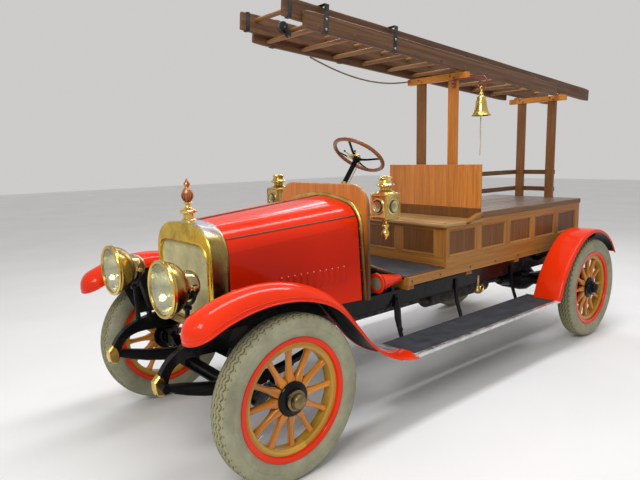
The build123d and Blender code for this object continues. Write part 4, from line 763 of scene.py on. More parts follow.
def wooden_wheel(node, place, body, rear):
    """Twelve spokes in a felloe of six parts, with rim, hub, valve and cap; rear adds a brake drum."""
    timber = Shape("spoke", "felloe")
    for turn in range(SPOKES):
        spin = Matrix.Rotation(math.tau * turn / SPOKES, 4, "Z")
        rings = [
            [(r, y, x) for x, y in superellipse(axial, across, power, 16)]
            for r, axial, across, power in SPOKE_SECTIONS
        ]
        shift = rng.uniform(0, 9)
        grain = [(p[0], p[1] + shift, p[2]) for ring in rings for p in ring]
        timber.rings(rings, 0, place @ spin, grain=grain)
    felloe = mm(
        (268, -31), (272, -35), (300, -35), (301.5, -30), (301.5, 30), (300, 35), (272, 35), (268, 31)
    )
    for part in range(FELLOES):
        rings, grain = [], []
        for k in range(17):
            a = math.tau * (part + k / 16) / FELLOES + 0.26
            ring = [(r * math.cos(a), r * math.sin(a), h) for r, h in felloe]
            rings.append(ring)
            grain += [(a * 0.285 + part, r, h) for r, h in felloe]
        timber.rings(rings, 1, place, caps=(False, False), grain=grain)
    timber.build(f"{node}_timber", body, "wheel_wood", (node,), angle=40)

    rim = Shape("red")
    rim.lathe(mm(
        (301, -49), (303, -52), (322, -52), (326, -55), (331, -54), (333, -50), (329, -46), (324, 0),
        (329, 46), (333, 50), (331, 54), (326, 55), (322, 52), (303, 52), (301, 49), (300.5, 30),
        (300.5, -30)
    ), place, 0, 128, True)
    rim.build(f"{node}_rim", body, "red_paint", angle=40)

    hub = Shape("black", "steel", "frame_black")
    hub.lathe(mm(
        (0, -56), (50, -56), (55, -52), (60, -40), (90, -38), (93, -35), (93, -26), (70, -26), (70, 26),
        (93, 26), (93, 33), (90, 37), (68, 40), (62, 44), (60, 52), (56, 58), (0, 58)
    ), place, 0, 64)
    if rear:
        hub.lathe(mm(
            (62, -36), (165, -38), (170, -43), (170, -94), (174, -95), (174, -99), (162, -99), (162, -46),
            (62, -46)
        ), place, 2, 72, True)
    valve = Matrix.Rotation(2.2, 4, "Z")
    hub.lathe(
        mm((4.5, 0), (4.5, 12), (6, 13), (6, 26), (4, 28), (4, 34), (0, 34)),
        place @ valve @ axis_place((0.268, 0, 0.018), (-1, 0, 0)), 1, 12
    )
    hub.build(f"{node}_hub", body, "black_paint", angle=35)

    cap_look, cap_slot = ("frame_black", "black_paint") if rear else ("brass_dull", "brass")
    cap = Shape(cap_look)
    cap.lathe(mm((56, 58.5), (55.5, 61), (46, 64), (43, 66)), place, 0, 40)
    cap.lathe(mm((44, 65), (44, 80), (40, 83)), place, 0, 8)
    cap.lathe(mm((40, 81), (41.5, 85), (40, 92), (34, 99), (24, 103.5), (11, 105), (0, 105)), place, 0, 40)
    cap.build(f"{node}_cap", body, cap_slot, angle=30)


for end, axle in (("front", FRONT_AXLE), ("rear", REAR_AXLE)):
    for side, sign in SIDES:
        wheel_place = axis_place((sign * TRACK_HALF, axle, TYRE_R), (sign, 0, 0), (0, 0, 1))
        wheel_body = f"{end}_{side}_wheel"
        tyre_piece(f"tyre_{end}_{side}", wheel_place, wheel_body)
        wooden_wheel(f"wheel_{end}_{side}", wheel_place, wheel_body, end == "rear")


# Radiator: brass arch, honeycomb core, cap with a turned finial
def arch_points(half, low, top, corner, counts=(4, 14, 12, 10)):
    """Arch outline from the bottom centre up the left, over the top and down the right."""
    bottom, side, turn, roof = counts
    points = [(between(0, half, k / bottom), low) for k in range(bottom)]
    points += [(half, between(low, top - corner, k / side)) for k in range(side)]
    points += [
        (half - corner + corner * math.cos(a), top - corner + corner * math.sin(a))
        for a in (math.pi / 2 * k / turn for k in range(turn))
    ]
    points += [(between(half - corner, 0, k / roof), top) for k in range(roof)]
    return points + [(0, top)] + [(-x, z) for x, z in reversed(points[1:])]


RAD_DEPTH, RAD_LOW, RAD_TOP = 0.110, 0.750, 1.336
SHELL_SIDE, SHELL_ROOF = (0.331, 1.168), (0.165, 1.323)
OPEN_HALF, OPEN_LOW, OPEN_TOP, OPEN_CORNER = 0.289, 0.770, 1.214, 0.095
shell = Shape("brass_front", "brass_side_painted_light")
half_shell = [(between(0, SHELL_SIDE[0], k / 4), RAD_LOW) for k in range(4)]
half_shell += [(SHELL_SIDE[0], between(RAD_LOW, SHELL_SIDE[1], k / 14)) for k in range(14)]
half_shell += arc3(SHELL_SIDE, (0.276, 1.275), SHELL_ROOF, 12)[:12]
half_shell += arc3(SHELL_ROOF, (0, RAD_TOP), (-SHELL_ROOF[0], SHELL_ROOF[1]), 20)[:10]
outer = half_shell + [(0, RAD_TOP)] + [(-x, z) for x, z in reversed(half_shell[1:])]
opening = arch_points(OPEN_HALF, OPEN_LOW, OPEN_TOP, OPEN_CORNER)
# Across the shell: share of the way from the outside to the opening, inset, distance behind the front
SHELL_SECTION = (
    (0, 0, 0.110), (0, 0, 0.104), (0, 0.0018, 0.102), (0, 0, 0.100), (0, 0, 0.024), (0, 0.0015, 0.016),
    (0, 0.005, 0.008), (0, 0.011, 0.003), (0, 0.018, 0.0008), (0.62, 0, 0), (0.86, 0, 0.001),
    (0.89, 0, -0.003), (0.94, 0, -0.005), (0.985, 0, -0.003), (1, 0, 0.002), (1, 0, 0.030)
)
shell_rings = []
for (ox, oz), (ix, iz) in zip(outer, opening):
    away = Vector((ox - ix, oz - iz))
    width = away.length
    ring = []
    for share, inset, back in SHELL_SECTION:
        t = max(share, inset / width if share == 0 else share)
        ring.append((between(ox, ix, t), RADIATOR_Y + back, between(oz, iz, t)))
    shell_rings.append(ring)
shell.rings(shell_rings, closed=False, loop=True)
# The shell's sides take the brass with painted shade and highlight
shell.slots = [1 if k % (len(SHELL_SECTION) - 1) < 6 else 0 for k in range(len(shell.slots))]
shell.build("radiator_arch", "chassis", "brass", ("radiator_shell",), angle=50)
tank = Shape("brass_old")
tank.rings([
    [(x, RADIATOR_Y + 0.055 + y, z) for x, y in superellipse(width, 0.100 - drop, 12, 40)]
    for width, z, drop in (
        (0.572, 0.752, 0), (0.572, 0.728, 0), (0.560, 0.712, 0.004), (0.530, 0.702, 0.016),
        (0.49, 0.700, 0.03)
    )
])
tank.build("radiator_tank", "chassis", "brass", angle=40)

core = Shape("core", "painted_shade_void")
CELL, CELL_ROWS, CELL_COLUMNS = 0.0058, 53, 59
# A cell's rings: share of its size, distance behind the mesh's front
CELL_RINGS = ((1, 0), (0.74, -0.0012), (0.66, 0.004))
front_y = RADIATOR_Y + 0.016
hexagon = [(math.cos(a), math.sin(a)) for a in (math.pi / 6 + k * math.pi / 3 for k in range(6))]
for row in range(CELL_ROWS):
    for col in range(CELL_COLUMNS):
        cx = -OPEN_HALF + (col + 0.5 * (row % 2)) * CELL * math.sqrt(3)
        cz = OPEN_LOW + row * CELL * 1.5
        inside = abs(cx) < OPEN_HALF + 0.003 and cz < OPEN_TOP + 0.003
        beyond = (abs(cx) - OPEN_HALF + OPEN_CORNER, cz - OPEN_TOP + OPEN_CORNER)
        if min(beyond) > 0:
            inside = math.hypot(*beyond) < OPEN_CORNER + 0.003
        if not inside:
            continue
        verts = [
            (cx + CELL * share * x, front_y + depth, cz + CELL * share * z)
            for share, depth in CELL_RINGS for x, z in hexagon
        ]
        faces = [(k, (k + 1) % 6, 6 + (k + 1) % 6, 6 + k) for k in range(6)]
        faces += [(6 + k, 6 + (k + 1) % 6, 12 + (k + 1) % 6, 12 + k) for k in range(6)]
        core.add(verts, faces, 0)
        # Near-black back of each cell: painted shade deep in the cell
        core.add(verts[12:], [(0, 1, 2, 3, 4, 5)], 1)
core.build("radiator_honeycomb", "chassis", "core_metal", ("radiator_core",), angle=20)

RAD_CAP = (0, RADIATOR_Y + RAD_DEPTH / 2, RAD_TOP)
cap = Shape("brass", "copper")
cap_place = Matrix.Translation(RAD_CAP)
cap.lathe(mm(
    (42, -2), (42, 3), (38, 8), (31, 12), (29, 20), (29, 38), (33, 42), (46, 44)
), cap_place, 0, 40)
cap.lathe(mm((46, 44), (48, 47), (48, 58), (44, 62)), cap_place, 0, 12)
cap.lathe(mm(
    (45, 60.5), (36, 67), (24, 70), (18, 76), (15, 82), (14, 92), (17, 96), (23, 98), (25, 102), (22, 106),
    (15, 110)
), cap_place, 0, 40)
cap.lathe(mm(
    (14, 109), (18, 114), (26, 126), (31, 142), (32, 154), (29, 168), (21, 180), (14, 188), (11, 194),
    (14, 199), (18, 206), (18, 213), (13, 221), (7, 229), (4, 238), (0, 242.5)
), cap_place, 1, 40)
for k in range(10):
    a = math.tau * k / 10
    # Leaves turned up round the finial's bulb
    leaf = [
        (math.cos(a + s) * r, math.sin(a + s) * r, z)
        for z, r, s in (
            (0.112, 0.020, 0.0), (0.128, 0.0295, 0.05), (0.146, 0.0335, 0.1), (0.160, 0.0325, 0.16)
        )
    ]
    cap.tube(leaf, [0.0022, 0.0036, 0.0034, 0.0012], 1, 6, cap_place)
cap.build("radiator_finial", "chassis", "brass", ("radiator_cap",), angle=35)


# Hood: louvres, side hinges and the ridge
HOOD_FRONT, HOOD_BACK = behind(-0.080), behind(0.844)


def hood_side(y, z):
    """Outer X of the hood's flat side."""
    t = (y - HOOD_FRONT) / (HOOD_BACK - HOOD_FRONT)
    top_x, bottom_x = between(0.328, 0.400, t), between(0.330, 0.432, t)
    top_z = between(1.168, 1.250, t)
    return between(bottom_x, top_x, (z - HOOD_FOOT) / (top_z - HOOD_FOOT))


def hinge_line(start, stop, knuckles, knuckle):
    """Points and radii of a hinge; knuckle gives (share of its length, radius)."""
    steps = [(k + share, radius) for k in range(knuckles) for share, radius in knuckle]
    return [start.lerp(stop, at / knuckles) for at, radius in steps], [radius for at, radius in steps]


def on_shoulder(arc, x):
    """Point of a shoulder arc at that X."""
    return min(arc, key=lambda p: abs(p[0] - x))


FRONT_SHOULDER = arc3((0.163, 1.319), (0.273, 1.271), (0.328, 1.168), 120)
REAR_SHOULDER = arc3((0.262, 1.387), (0.353, 1.340), (0.400, 1.250), 120)
HOOD_FOOT = 0.755
# A louvre's section: share of its width, share of its height
LOUVRE_SECTION = ((0, -0.001), (0.25, 0.16), (0.5, 0.52), (0.75, 0.86), (0.93, 1.0), (1.0, 0.94), (1.0, 0.72))
LOUVRES = 11
LOUVRE_PITCH = 0.046
LOUVRE_START = behind(0.235)
for side, sign in SIDES:
    # The louvres take the red with painted shade
    louvres = Shape("red_shade", "louvre_gap_painted_shade", "louvre_painted_glint")
    for index in range(LOUVRES):
        y0 = LOUVRE_START + index * LOUVRE_PITCH
        z0, z1 = 0.884 + 0.006 * index / LOUVRES, 0.992 + 0.010 * index / LOUVRES
        rings = []
        for j in range(13):
            s = j / 12
            lift = 0.008 * min(1.0, math.sin(math.pi * s) * 1.9) ** 0.7
            width = 0.021 * (0.25 + 0.75 * min(1.0, math.sin(math.pi * s) * 2.2))
            z = between(z0, z1, s)
            ring = []
            for share, height in LOUVRE_SECTION:
                y = y0 + share * width
                ring.append((sign * (hood_side(y, z) + height * lift), y, z))
            rings.append(ring)
        louvres.rings(rings, closed=False)
        # Dark red strip in each louvre's mouth: painted shade for the opening under the lip
        mouth = []
        for j in range(13):
            y = y0 + 0.0205
            z = between(z0 + 0.006, z1 - 0.006, j / 12)
            x = sign * (hood_side(y, z) + 0.0004)
            mouth += [(x, y - 0.005, z), (x, y + 0.001, z)]
        louvres.add(mouth, [(2 * j, 2 * j + 1, 2 * j + 3, 2 * j + 2) for j in range(12)], 1)
        # Small light dome at each louvre's top end: a painted glint
        tip_y = y0 + 0.013
        tip_place = axis_place((sign * hood_side(tip_y, z1), tip_y, z1 - 0.006), (sign, 0, 0))
        louvres.lathe(mm((4.2, 6.2), (3.2, 9), (0, 10)), tip_place, 2, 10)
    louvres.build(f"hood_louvres_{side}", f"hood_{side}", "red_paint", angle=60)

    hinge = Shape("hinge")
    low, high = on_shoulder(FRONT_SHOULDER, 0.297), on_shoulder(REAR_SHOULDER, 0.380)
    start = Vector((sign * low[0], HOOD_FRONT + 0.002, low[1]))
    stop = Vector((sign * high[0], HOOD_BACK - 0.002, high[1]))
    hinge.tube(*hinge_line(start, stop, 22, (
        (0.02, 0.0048), (0.94, 0.0048), (0.95, 0.0036), (1.0, 0.0036)
    )), 0, 10)
    hinge.build(f"hood_side_hinge_{side}", f"hood_{side}", "black_paint", angle=40)

    # Turned edges of the hood's side, in the red with painted shade: front, rear and foot
    edge = Shape("red_shade")
    edge_ys, foot_z = (HOOD_FRONT + 0.004, HOOD_BACK - 0.004), HOOD_FOOT + 0.002
    for y in edge_ys:
        edge.tube([(sign * (hood_side(y, z) - 0.001), y, z) for z in (foot_z, 0.95, 1.16)], 0.0025, 0, 8)
    edge.tube([(sign * (hood_side(y, foot_z) - 0.001), y, foot_z) for y in edge_ys], 0.003, 0, 8)
    edge.build(f"hood_edge_{side}", f"hood_{side}", "red_paint", angle=40)


# Brass moulding behind the hood, hinge rod on the ridge, and the dash board
MOULDING_Y, DASH_Y = behind(0.850), behind(0.872)
half_arch = arc3((-0.262, 1.387), (0, 1.420), (0.262, 1.387), 20)[10:20] + REAR_SHOULDER[::6]
half_arch += [(between(0.400, 0.432, t), between(1.250, 0.752, t)) for t in (0.1, 0.25, 0.5, 0.75, 1.0)]
arch_line = [(-x, z) for x, z in reversed(half_arch[1:])] + half_arch
# Section of the moulding: distance outwards, distance behind its front
MOULDING_SECTION = mm(
    (-16, 22), (-16, 10), (-12, 4), (-4, 0.8), (3, 0), (10, 0.8), (18, 4), (22, 10), (22, 22)
)
# The moulding's brass carries painted shade down its sides
moulding = Shape("brass_arch_painted_shade")
rings = []
for i, (x, z) in enumerate(arch_line):
    ax, az = arch_line[max(i - 1, 0)]
    bx, bz = arch_line[min(i + 1, len(arch_line) - 1)]
    run = Vector((bx - ax, bz - az)).normalized()
    nx, nz = -run.y, run.x
    rings.append([(x + nx * w, MOULDING_Y + back, z + nz * w) for w, back in MOULDING_SECTION])
moulding.rings(rings, closed=False)
for sign in (1, -1):
    for z in (0.80, 0.95, 1.10, 1.22):
        moulding.rivet((
            sign * between(0.435, 0.403, (z - 0.75) / 0.5), MOULDING_Y + 0.0006, z
        ), (0, -1, 0), 0.005)
moulding.build("hood_arch_moulding", "chassis", "brass", ("dash_moulding",), angle=50)

ridge = Shape("hinge")
start, stop = Vector((0, HOOD_FRONT - 0.004, 1.3340)), Vector((0, HOOD_BACK + 0.008, 1.4202))
ridge.tube(*hinge_line(start, stop, 24, ((0.02, 0.006), (0.95, 0.006), (0.96, 0.0048), (1.0, 0.0048))), 0, 12)
ridge.build("hood_ridge_hinge", "chassis", "brass", angle=40)

DASH_HALF, DASH_T, DASH_EDGE = 0.461, 0.025, 0.006
# The dash board's wood carries painted shade low down
board = Shape("dash_wood_painted_shade", "dash_edge")
edge_line = arch_points(DASH_HALF, 0.750, 1.503, 0.150, (3, 8, 16, 8))
face_line = [(x * (1 - DASH_EDGE / DASH_HALF), z - (DASH_EDGE if z > 1.3 else 0)) for x, z in edge_line]
rings = [
    [(a, DASH_Y, b), (x, DASH_Y + 0.003, z), (x, DASH_Y + 0.022, z), (a, DASH_Y + DASH_T, b)]
    for (x, z), (a, b) in zip(edge_line, face_line)
]
board.rings(rings, 1, closed=False, loop=True)
for y in (DASH_Y, DASH_Y + DASH_T):
    board.add([(x, y, z) for x, z in face_line], [tuple(range(len(face_line)))], 0)
board.build("dash_board_wood", "chassis", "body_wood", ("dash_board",), angle=30)


# Headlamps: brass bells with bright rims, silver reflectors and drums
HEAD_X, HEAD_Z, HEAD_Y = 0.341, 1.041, behind(-0.497)
FORK_R, FORK_BACK = 0.098, 0.146
for side, sign in SIDES:
    place = axis_place((sign * HEAD_X, HEAD_Y, HEAD_Z), (0, 1, 0), (0, 0, 1))
    bell_shape = Shape("brass", "brass_drum", "brass_lamp")
    bell_shape.lathe(mm(
        (134, 10), (134, 3), (137, 0.6), (143, 0), (148, 2), (151, 7), (150.5, 12), (146.5, 14.5),
        (146.5, 16.5), (150, 18), (151, 21.5), (149, 25.5), (142, 27)
    ), place, 0, 72)
    bowl = arc3((0.142, 0.026), (0.121, 0.086), (0.078, 0.124), 16)
    bell_shape.lathe(bowl[:-1] + [(0.0835, 0.121), (0.0840, 0.126), (0.0790, 0.129)], place, 2, 72)
    bell_shape.lathe(mm(
        (76, 126), (77.5, 132), (78.5, 140), (78.7, 150), (78, 160), (76.5, 168), (73, 178), (66, 189),
        (56, 198), (42, 204.5), (26, 208.5)
    ), place, 1, 56)
    bell_shape.lathe(mm((27, 207.5), (23, 210.5), (14, 212), (0, 212)), place, 0, 32)
    for x in (1, -1):
        pivot = axis_place((sign * HEAD_X + x * 0.078, HEAD_Y + FORK_BACK, HEAD_Z), (x, 0, 0))
        bell_shape.lathe(mm((17, -4), (17, 3), (12, 5), (12, 10)), pivot, 0, 24)
    bell_shape.build(f"headlamp_{side}_shell", "chassis", "brass", ("headlamps",), angle=35)

    inner = Shape("reflector", "cream", "brass_old")
    inner.lathe(mm(
        (135, 12), (132, 30), (122, 55), (107, 78), (88, 99), (67, 115), (44, 126), (22, 131.5), (0, 132.5)
    ), place, 0, 64)
    inner.lathe(mm((11, 132), (11, 104), (8, 98), (8, 84), (0, 82)), place, 2, 20)
    inner.lathe(mm((5.5, 84), (5.5, 68), (0, 67)), place, 1, 16)
    inner.build(f"headlamp_{side}_reflector", "chassis", "brass", angle=50)

    lens = Shape("glass")
    lens.lathe(mm(
        (0, 2), (50, 3), (95, 5.2), (121, 7.2), (134.2, 8.8), (134.2, 11.8), (121, 10.2), (95, 8.2),
        (50, 6), (0, 5)
    ), place, 0, 64)
    lens.build(f"headlamp_{side}_glass", "chassis", "glass", ("headlamp_glasses",), angle=50)

    fork = Shape("frame_black", "brass_old")
    y = HEAD_Y + FORK_BACK
    arc = [
        (sign * HEAD_X + FORK_R * math.cos(a), y, HEAD_Z + FORK_R * math.sin(a))
        for a in (math.pi + math.pi * k / 28 for k in range(29))
    ]
    arc = [(arc[0][0], y, HEAD_Z + 0.018)] + arc + [(arc[-1][0], y, HEAD_Z + 0.018)]
    fork.tube(arc, 0.0098, 0, 12)
    stem = [
        (sign * between(HEAD_X, 0.318, t), y, between(HEAD_Z - FORK_R, 0.690, t))
        for t in (0, 0.08, 0.2, 0.4, 0.6, 0.8, 0.9, 1)
    ]
    fork.tube(stem, [0.017, 0.0145, 0.0125, 0.0125, 0.0135, 0.0150, 0.017, 0.021], 0, 16)
    collar = axis_place((sign * HEAD_X, y, HEAD_Z - 0.125), (0, 0, 1))
    fork.lathe(mm((22, -6), (24, 0), (24, 10), (18, 14)), collar, 0, 24)
    for x in (1, -1):
        spot = (sign * HEAD_X + x * 0.092, y, HEAD_Z)
        fork.lathe(mm((14, 0), (14, 14), (10, 17), (0, 17)), axis_place(spot, (x, 0, 0)), 1, 20)
        fork.tube([(spot[0] - x * 0.018, y, HEAD_Z), (spot[0] + x * 0.004, y, HEAD_Z)], 0.008, 0, 12)
    fork.build(f"headlamp_{side}_fork", "chassis", "black_paint", ("headlamp_brackets",), angle=40)


# Side lamps: bevelled brass lanterns with a bullseye in front and a round glass at the side
LAMP_X, LAMP_Y, LAMP_Z, LAMP_H = 0.560, behind(0.931), 1.372, 0.165
# Widths and heights of the lantern's square body, and of the band that grows from it
LAMP_BODY = mm(
    (122, -82.5), (136, -78), (140, -70), (136, -66), (132, -62), (132, 60), (136, 64), (140, 69),
    (138, 76), (122, 82.5)
)
LAMP_BAND = mm((-4, -4), (0, -2.5), (0, 2.5), (-4, 4))
LAMP_TOP = mm(
    (64, -6), (66, 0), (60, 5), (50, 10), (40, 14), (34, 18), (34, 32), (40, 36), (56, 40), (60, 44),
    (59, 49), (50, 54), (43, 64), (38, 76), (41, 82), (45, 88), (44, 93), (34, 98), (22, 102), (18, 104),
    (0, 105)
)
LAMP_FOOT = mm(
    (50, 4), (40, -3), (30, -8), (18, -14), (12, -22), (11, -28), (17, -34), (22, -42), (21, -52),
    (13, -60), (12, -66), (18, -74), (24, -86), (25, -96), (21, -108), (14, -118), (10, -124), (8, -130),
    (0, -130.5)
)


def lamp_rings(sizes):
    """Square rings with rounded corners, from widths and heights."""
    return [[(x, y, z) for x, y in superellipse(width, width, 9, 48)] for width, z in sizes]


for side, sign in SIDES:
    lamp = Shape("brass", "brass_old", "painted_shade_void")
    centre = Matrix.Translation((sign * LAMP_X, LAMP_Y, LAMP_Z))
    lamp.rings(lamp_rings(LAMP_BODY), 1, centre)
    for z in (-0.070, 0.069):
        lamp.rings(lamp_rings([(0.142 + grow, z + dz) for grow, dz in LAMP_BAND]), 0, centre)
    for x in (1, -1):
        for y in (1, -1):
            lamp.tube([(x * 0.0625, y * 0.0625, z) for z in (-0.064, 0, 0.064)], 0.0058, 0, 10, centre)
    lamp.lathe(LAMP_TOP, centre @ Matrix.Translation((0, 0, LAMP_H / 2)), 0, 40)
    lamp.lathe(LAMP_FOOT, centre @ Matrix.Translation((0, 0, -LAMP_H / 2)), 0, 36)
    # Near-black dots round the chimney: painted shade for its vent holes
    for k in range(12):
        a = math.tau * k / 12
        spot = centre @ Matrix.Translation((0.0342 * math.cos(a), 0.0342 * math.sin(a), LAMP_H / 2 + 0.025))
        lamp.lathe(mm((3.4, 0), (0, 0.4)), spot @ axis_place((0, 0, 0), (math.cos(a), math.sin(a), 0)), 2, 10)
    bezel = mm((52, -2), (52, 3), (49, 6), (45, 7), (42, 5.5), (41, 2), (41, -2))
    front = centre @ axis_place((0, -0.0655, 0), (0, -1, 0))
    flank = centre @ axis_place((sign * 0.0655, 0, 0), (sign, 0, 0))
    back_eye = centre @ axis_place((0, 0.0655, 0), (0, 1, 0))
    for spot in (front, flank):
        lamp.lathe(bezel, spot, 0, 40)
    lamp.lathe([(r * 0.4, h) for r, h in bezel], back_eye, 0, 24)
    lamp.tube([(sign * x, DASH_Y + 0.030, LAMP_Z - 0.060) for x in (0.495, 0.440, 0.417)], 0.009, 1, 12)
    low, high = (0.415, DASH_Y + DASH_T, LAMP_Z - 0.085), (0.452, DASH_Y + 0.031, LAMP_Z - 0.035)
    lamp.side_plank(sign, low, high, "x", 1)
    for z in (-0.078, -0.042):
        lamp.bolt((sign * 0.433, DASH_Y + 0.031, LAMP_Z + z), (0, 1, 0), 0.005, 0.005, 0)
    lamp.build(f"side_lamp_{side}", "chassis", "brass", ("side_lamps",), angle=38)

    mirrors = Shape("reflector")
    for spot in (front, flank):
        mirrors.lathe(mm((41, 3), (32.8, 1.2), (16.4, 0.4), (0, 0.2)), spot, 0, 32)
    mirrors.build(f"side_lamp_{side}_mirrors", "chassis", "brass", angle=60)
    eye = Shape("bullseye", "glass")
    eye.lathe(mm((41, 3.5), (36, 5.8), (26, 8.5), (13, 9.8), (0, 10.2)), front, 0, 36)
    eye.lathe(mm((41, 3.5), (36, 4.8), (26, 6.6), (13, 7.8), (0, 8.2)), flank, 1, 36)
    eye.lathe(mm((16, 1), (12, 3), (6, 4.2), (0, 4.6)), back_eye, 0, 24)
    eye.build(f"side_lamp_{side}_glass", "chassis", "glass", angle=60)


# Fenders: sheets, red above and black below, with wired edges and bolt heads, down to the running boards
BOARD_LOW, BOARD_TOP = 0.420, 0.442


def walk_runs(start, rise, runs, step=0.02):
    """Points (y, z, heading) along a fender's crown line.

    A run is a line and its length, or an arc with its radius and its turn in degrees.
    """
    y, z = start
    heading = math.radians(rise)
    points = [(y, z, heading)]
    for kind, value, turn in runs:
        length = value if kind == "line" else abs(value) * math.radians(abs(turn))
        count = max(2, int(length / step))
        for _ in range(count):
            bend = 0 if kind == "line" else math.radians(turn) / count
            heading -= bend / 2
            y += length / count * math.cos(heading)
            z += length / count * math.sin(heading)
            heading -= bend / 2
            points.append((y, z, heading))
    return points


FENDER_MID, FENDER_HALF, CROWN_BOW = 0.697, 0.105, 0.995
SHEET_T, NOSE_DEPTH, NOSE_REACH, NOSE_STEPS = 0.0035, 0.098, 0.1047, 15
front_walk = walk_runs(
    (behind(-0.5004), 0.9857), 25.6,
    (("arc", 0.8443, 51.5), ("arc", 0.5265, 25.4), ("line", 0.209, 0), ("arc", -0.6176, -47.3)),
)


def crown_drop(reach, half, depth):
    """Fall of the fender's sheet at a distance from its crown line."""
    share = min(1.0, reach / half)
    return depth * (1 - math.sqrt(1 - (CROWN_BOW * share) ** 2)) / (1 - math.sqrt(1 - CROWN_BOW ** 2))


def fender_depth(distance):
    """Depth of the section, which fades from the nose to the running board."""
    share = min(1.0, max(0.0, (distance - 0.100) / 1.500))
    return between(NOSE_DEPTH, 0.027, share * share * (3 - 2 * share))


def edge_point(point, x, drop):
    """Place at X, square below a point of the crown line."""
    y, z, heading = point
    return (x, y + drop * math.sin(heading), z - drop * math.cos(heading))


def near(point, *distances):
    """Whether a point of the crown line is at one of the distances behind the front axle."""
    return any(abs(point[0] - behind(distance)) < 0.011 for distance in distances)


def sheet_shape(outside, inside):
    """Thin sheet, red outside and black inside, from matching rings of points."""
    sheet = Shape("red", "black")
    sheet.rings(outside, 0, closed=False)
    sheet.rings(inside, 1, closed=False)
    count = len(outside[0])
    for a, b in ((outside[0], inside[0]), (outside[-1], inside[-1])):
        sheet.add(a + b, [(k, k + 1, count + k + 1, count + k) for k in range(count - 1)], 1)
    return sheet


def before_nose(ahead):
    """Point of the crown line's straight extension in front of the nose's centre."""
    y, z, heading = front_walk[0]
    return (y - ahead * math.cos(heading), z - ahead * math.sin(heading), heading)


walked = 0.0
# Stations along the crown: place on the line, distance ahead of the nose's centre, depth
stations = []
for k in range(NOSE_STEPS, 0, -1):
    ahead = NOSE_REACH * math.sin(math.pi / 2 * k / NOSE_STEPS)
    stations.append((before_nose(ahead), ahead, NOSE_DEPTH))
for k, p in enumerate(front_walk):
    if k:
        walked += math.hypot(p[0] - front_walk[k - 1][0], p[1] - front_walk[k - 1][1])
    if p[1] > BOARD_TOP + 0.002:
        stations.append((p, 0.0, fender_depth(walked)))


def across(station, share, skin=0.0):
    """Point of the fender's sheet at a share of its half-width, skin below the outside."""
    p, ahead, depth = station
    half = FENDER_HALF - skin
    x = math.sqrt(max(0.0, half ** 2 - ahead ** 2)) * share
    fall = skin + crown_drop(math.hypot(x, ahead), half, depth - skin)
    return edge_point(p, FENDER_MID + x, fall)


def along_side(share):
    """Line round the fender's sheet: up the inner side, round the nose and back along the outer side."""
    line = [across(station, -share) for station in reversed(stations) if station[1] == 0]
    for k in range(1, 24):
        a = math.pi * k / 24
        reach = FENDER_HALF * share
        x = FENDER_MID - reach * math.cos(a)
        fall = crown_drop(reach, FENDER_HALF, NOSE_DEPTH)
        line.append(edge_point(before_nose(reach * math.sin(a)), x, fall))
    return line + [across(station, share) for station in stations if station[1] == 0]


for side, sign in SIDES:
    shares = [math.sin(math.pi / 2 * (k / 12 - 1)) for k in range(25)]
    outside, inside = (
        [
            [(sign * x, y, z) for x, y, z in (across(station, share, skin) for share in shares)]
            for station in stations
        ]
        for skin in (0.0, SHEET_T)
    )
    sheet = sheet_shape(outside, inside)
    sheet.build(f"front_fender_{side}", "chassis", "red_paint", ("front_fenders",), angle=60)

    bead = Shape("red")
    for share, radius in ((0.998, 0.0042), (0.955, 0.0022)):
        bead.tube([(sign * x, y, z) for x, y, z in along_side(share) if z > 0.452], radius, 0, 8)
    for station in stations:
        p = station[0]
        if station[1] == 0 and near(p, -0.26, 0.42):
            for share in (-0.45, -0.28):
                x, y, z = across(station, share)
                normal = (sign * share * 0.5, -math.sin(p[2]), math.cos(p[2]))
                bead.rivet((sign * x, y, z), normal, 0.0065)
    bead.build(f"front_fender_bead_{side}", "chassis", "red_paint", angle=60)

# Black splash aprons from the fender's inner edge to the hood's foot, in the near-black that also stands for
# the shade under the fender: share of the way in, share down
APRON_SECTION = (
    (-0.006, -0.04), (0.03, 0.14), (0.09, 0.27), (0.32, 0.55), (0.63, 0.80), (0.79, 0.91), (1, 1)
)
for side, sign in SIDES:
    apron = Shape("painted_shade_void")
    rings = []
    for station in stations:
        x, y, z = across(station, -1, 0.004)
        if behind(-0.34) < y < behind(0.62) and z > 0.775:
            foot_x = hood_side(max(y, HOOD_FRONT), HOOD_FOOT) + 0.006
            rings.append([(sign * between(x, foot_x, a), y, between(z, 0.7515, b)) for a, b in APRON_SECTION])
    under = [[(x, y, z - 0.002) for x, y, z in ring] for ring in rings]
    apron.rings(rings, 0, closed=False)
    apron.rings(under, 0, closed=False)
    apron.build(f"splash_apron_{side}", "chassis", "black_paint", angle=60)

# Rear fenders: a straight foot, a flare and an arc that is centred on the rear axle
CROWN_R, FLARE_R, FLARE_TURN, REAR_MID, REAR_HALF = 0.538, 0.897, 32.0, 0.682, 0.120
flare_end, flare_angle = math.radians(125), math.radians(125 + FLARE_TURN)
centre_y = REAR_AXLE - (FLARE_R - CROWN_R) * math.cos(flare_end)
centre_z = TYRE_R - (FLARE_R - CROWN_R) * math.sin(flare_end)
flare_y, flare_z = centre_y + FLARE_R * math.cos(flare_angle), centre_z + FLARE_R * math.sin(flare_angle)
foot_rise = flare_angle - math.pi / 2
foot_length = (flare_z - BOARD_TOP) / math.sin(foot_rise)
rear_walk = walk_runs(
    (flare_y - foot_length * math.cos(foot_rise), flare_z - foot_length * math.sin(foot_rise)),
    math.degrees(foot_rise),
    (("line", foot_length, 0), ("arc", FLARE_R, FLARE_TURN), ("arc", CROWN_R, 93.0)),
)
REAR_SECTION = mm(
    (562, 24), (562, 16), (563.5, 10), (567, 5), (572, 1.8), (578, 0), (620, -1.2), (682, -1.6),
    (744, -1.2), (786, 0), (792, 1.8), (797, 5), (800.5, 10), (802, 16), (802, 24)
)
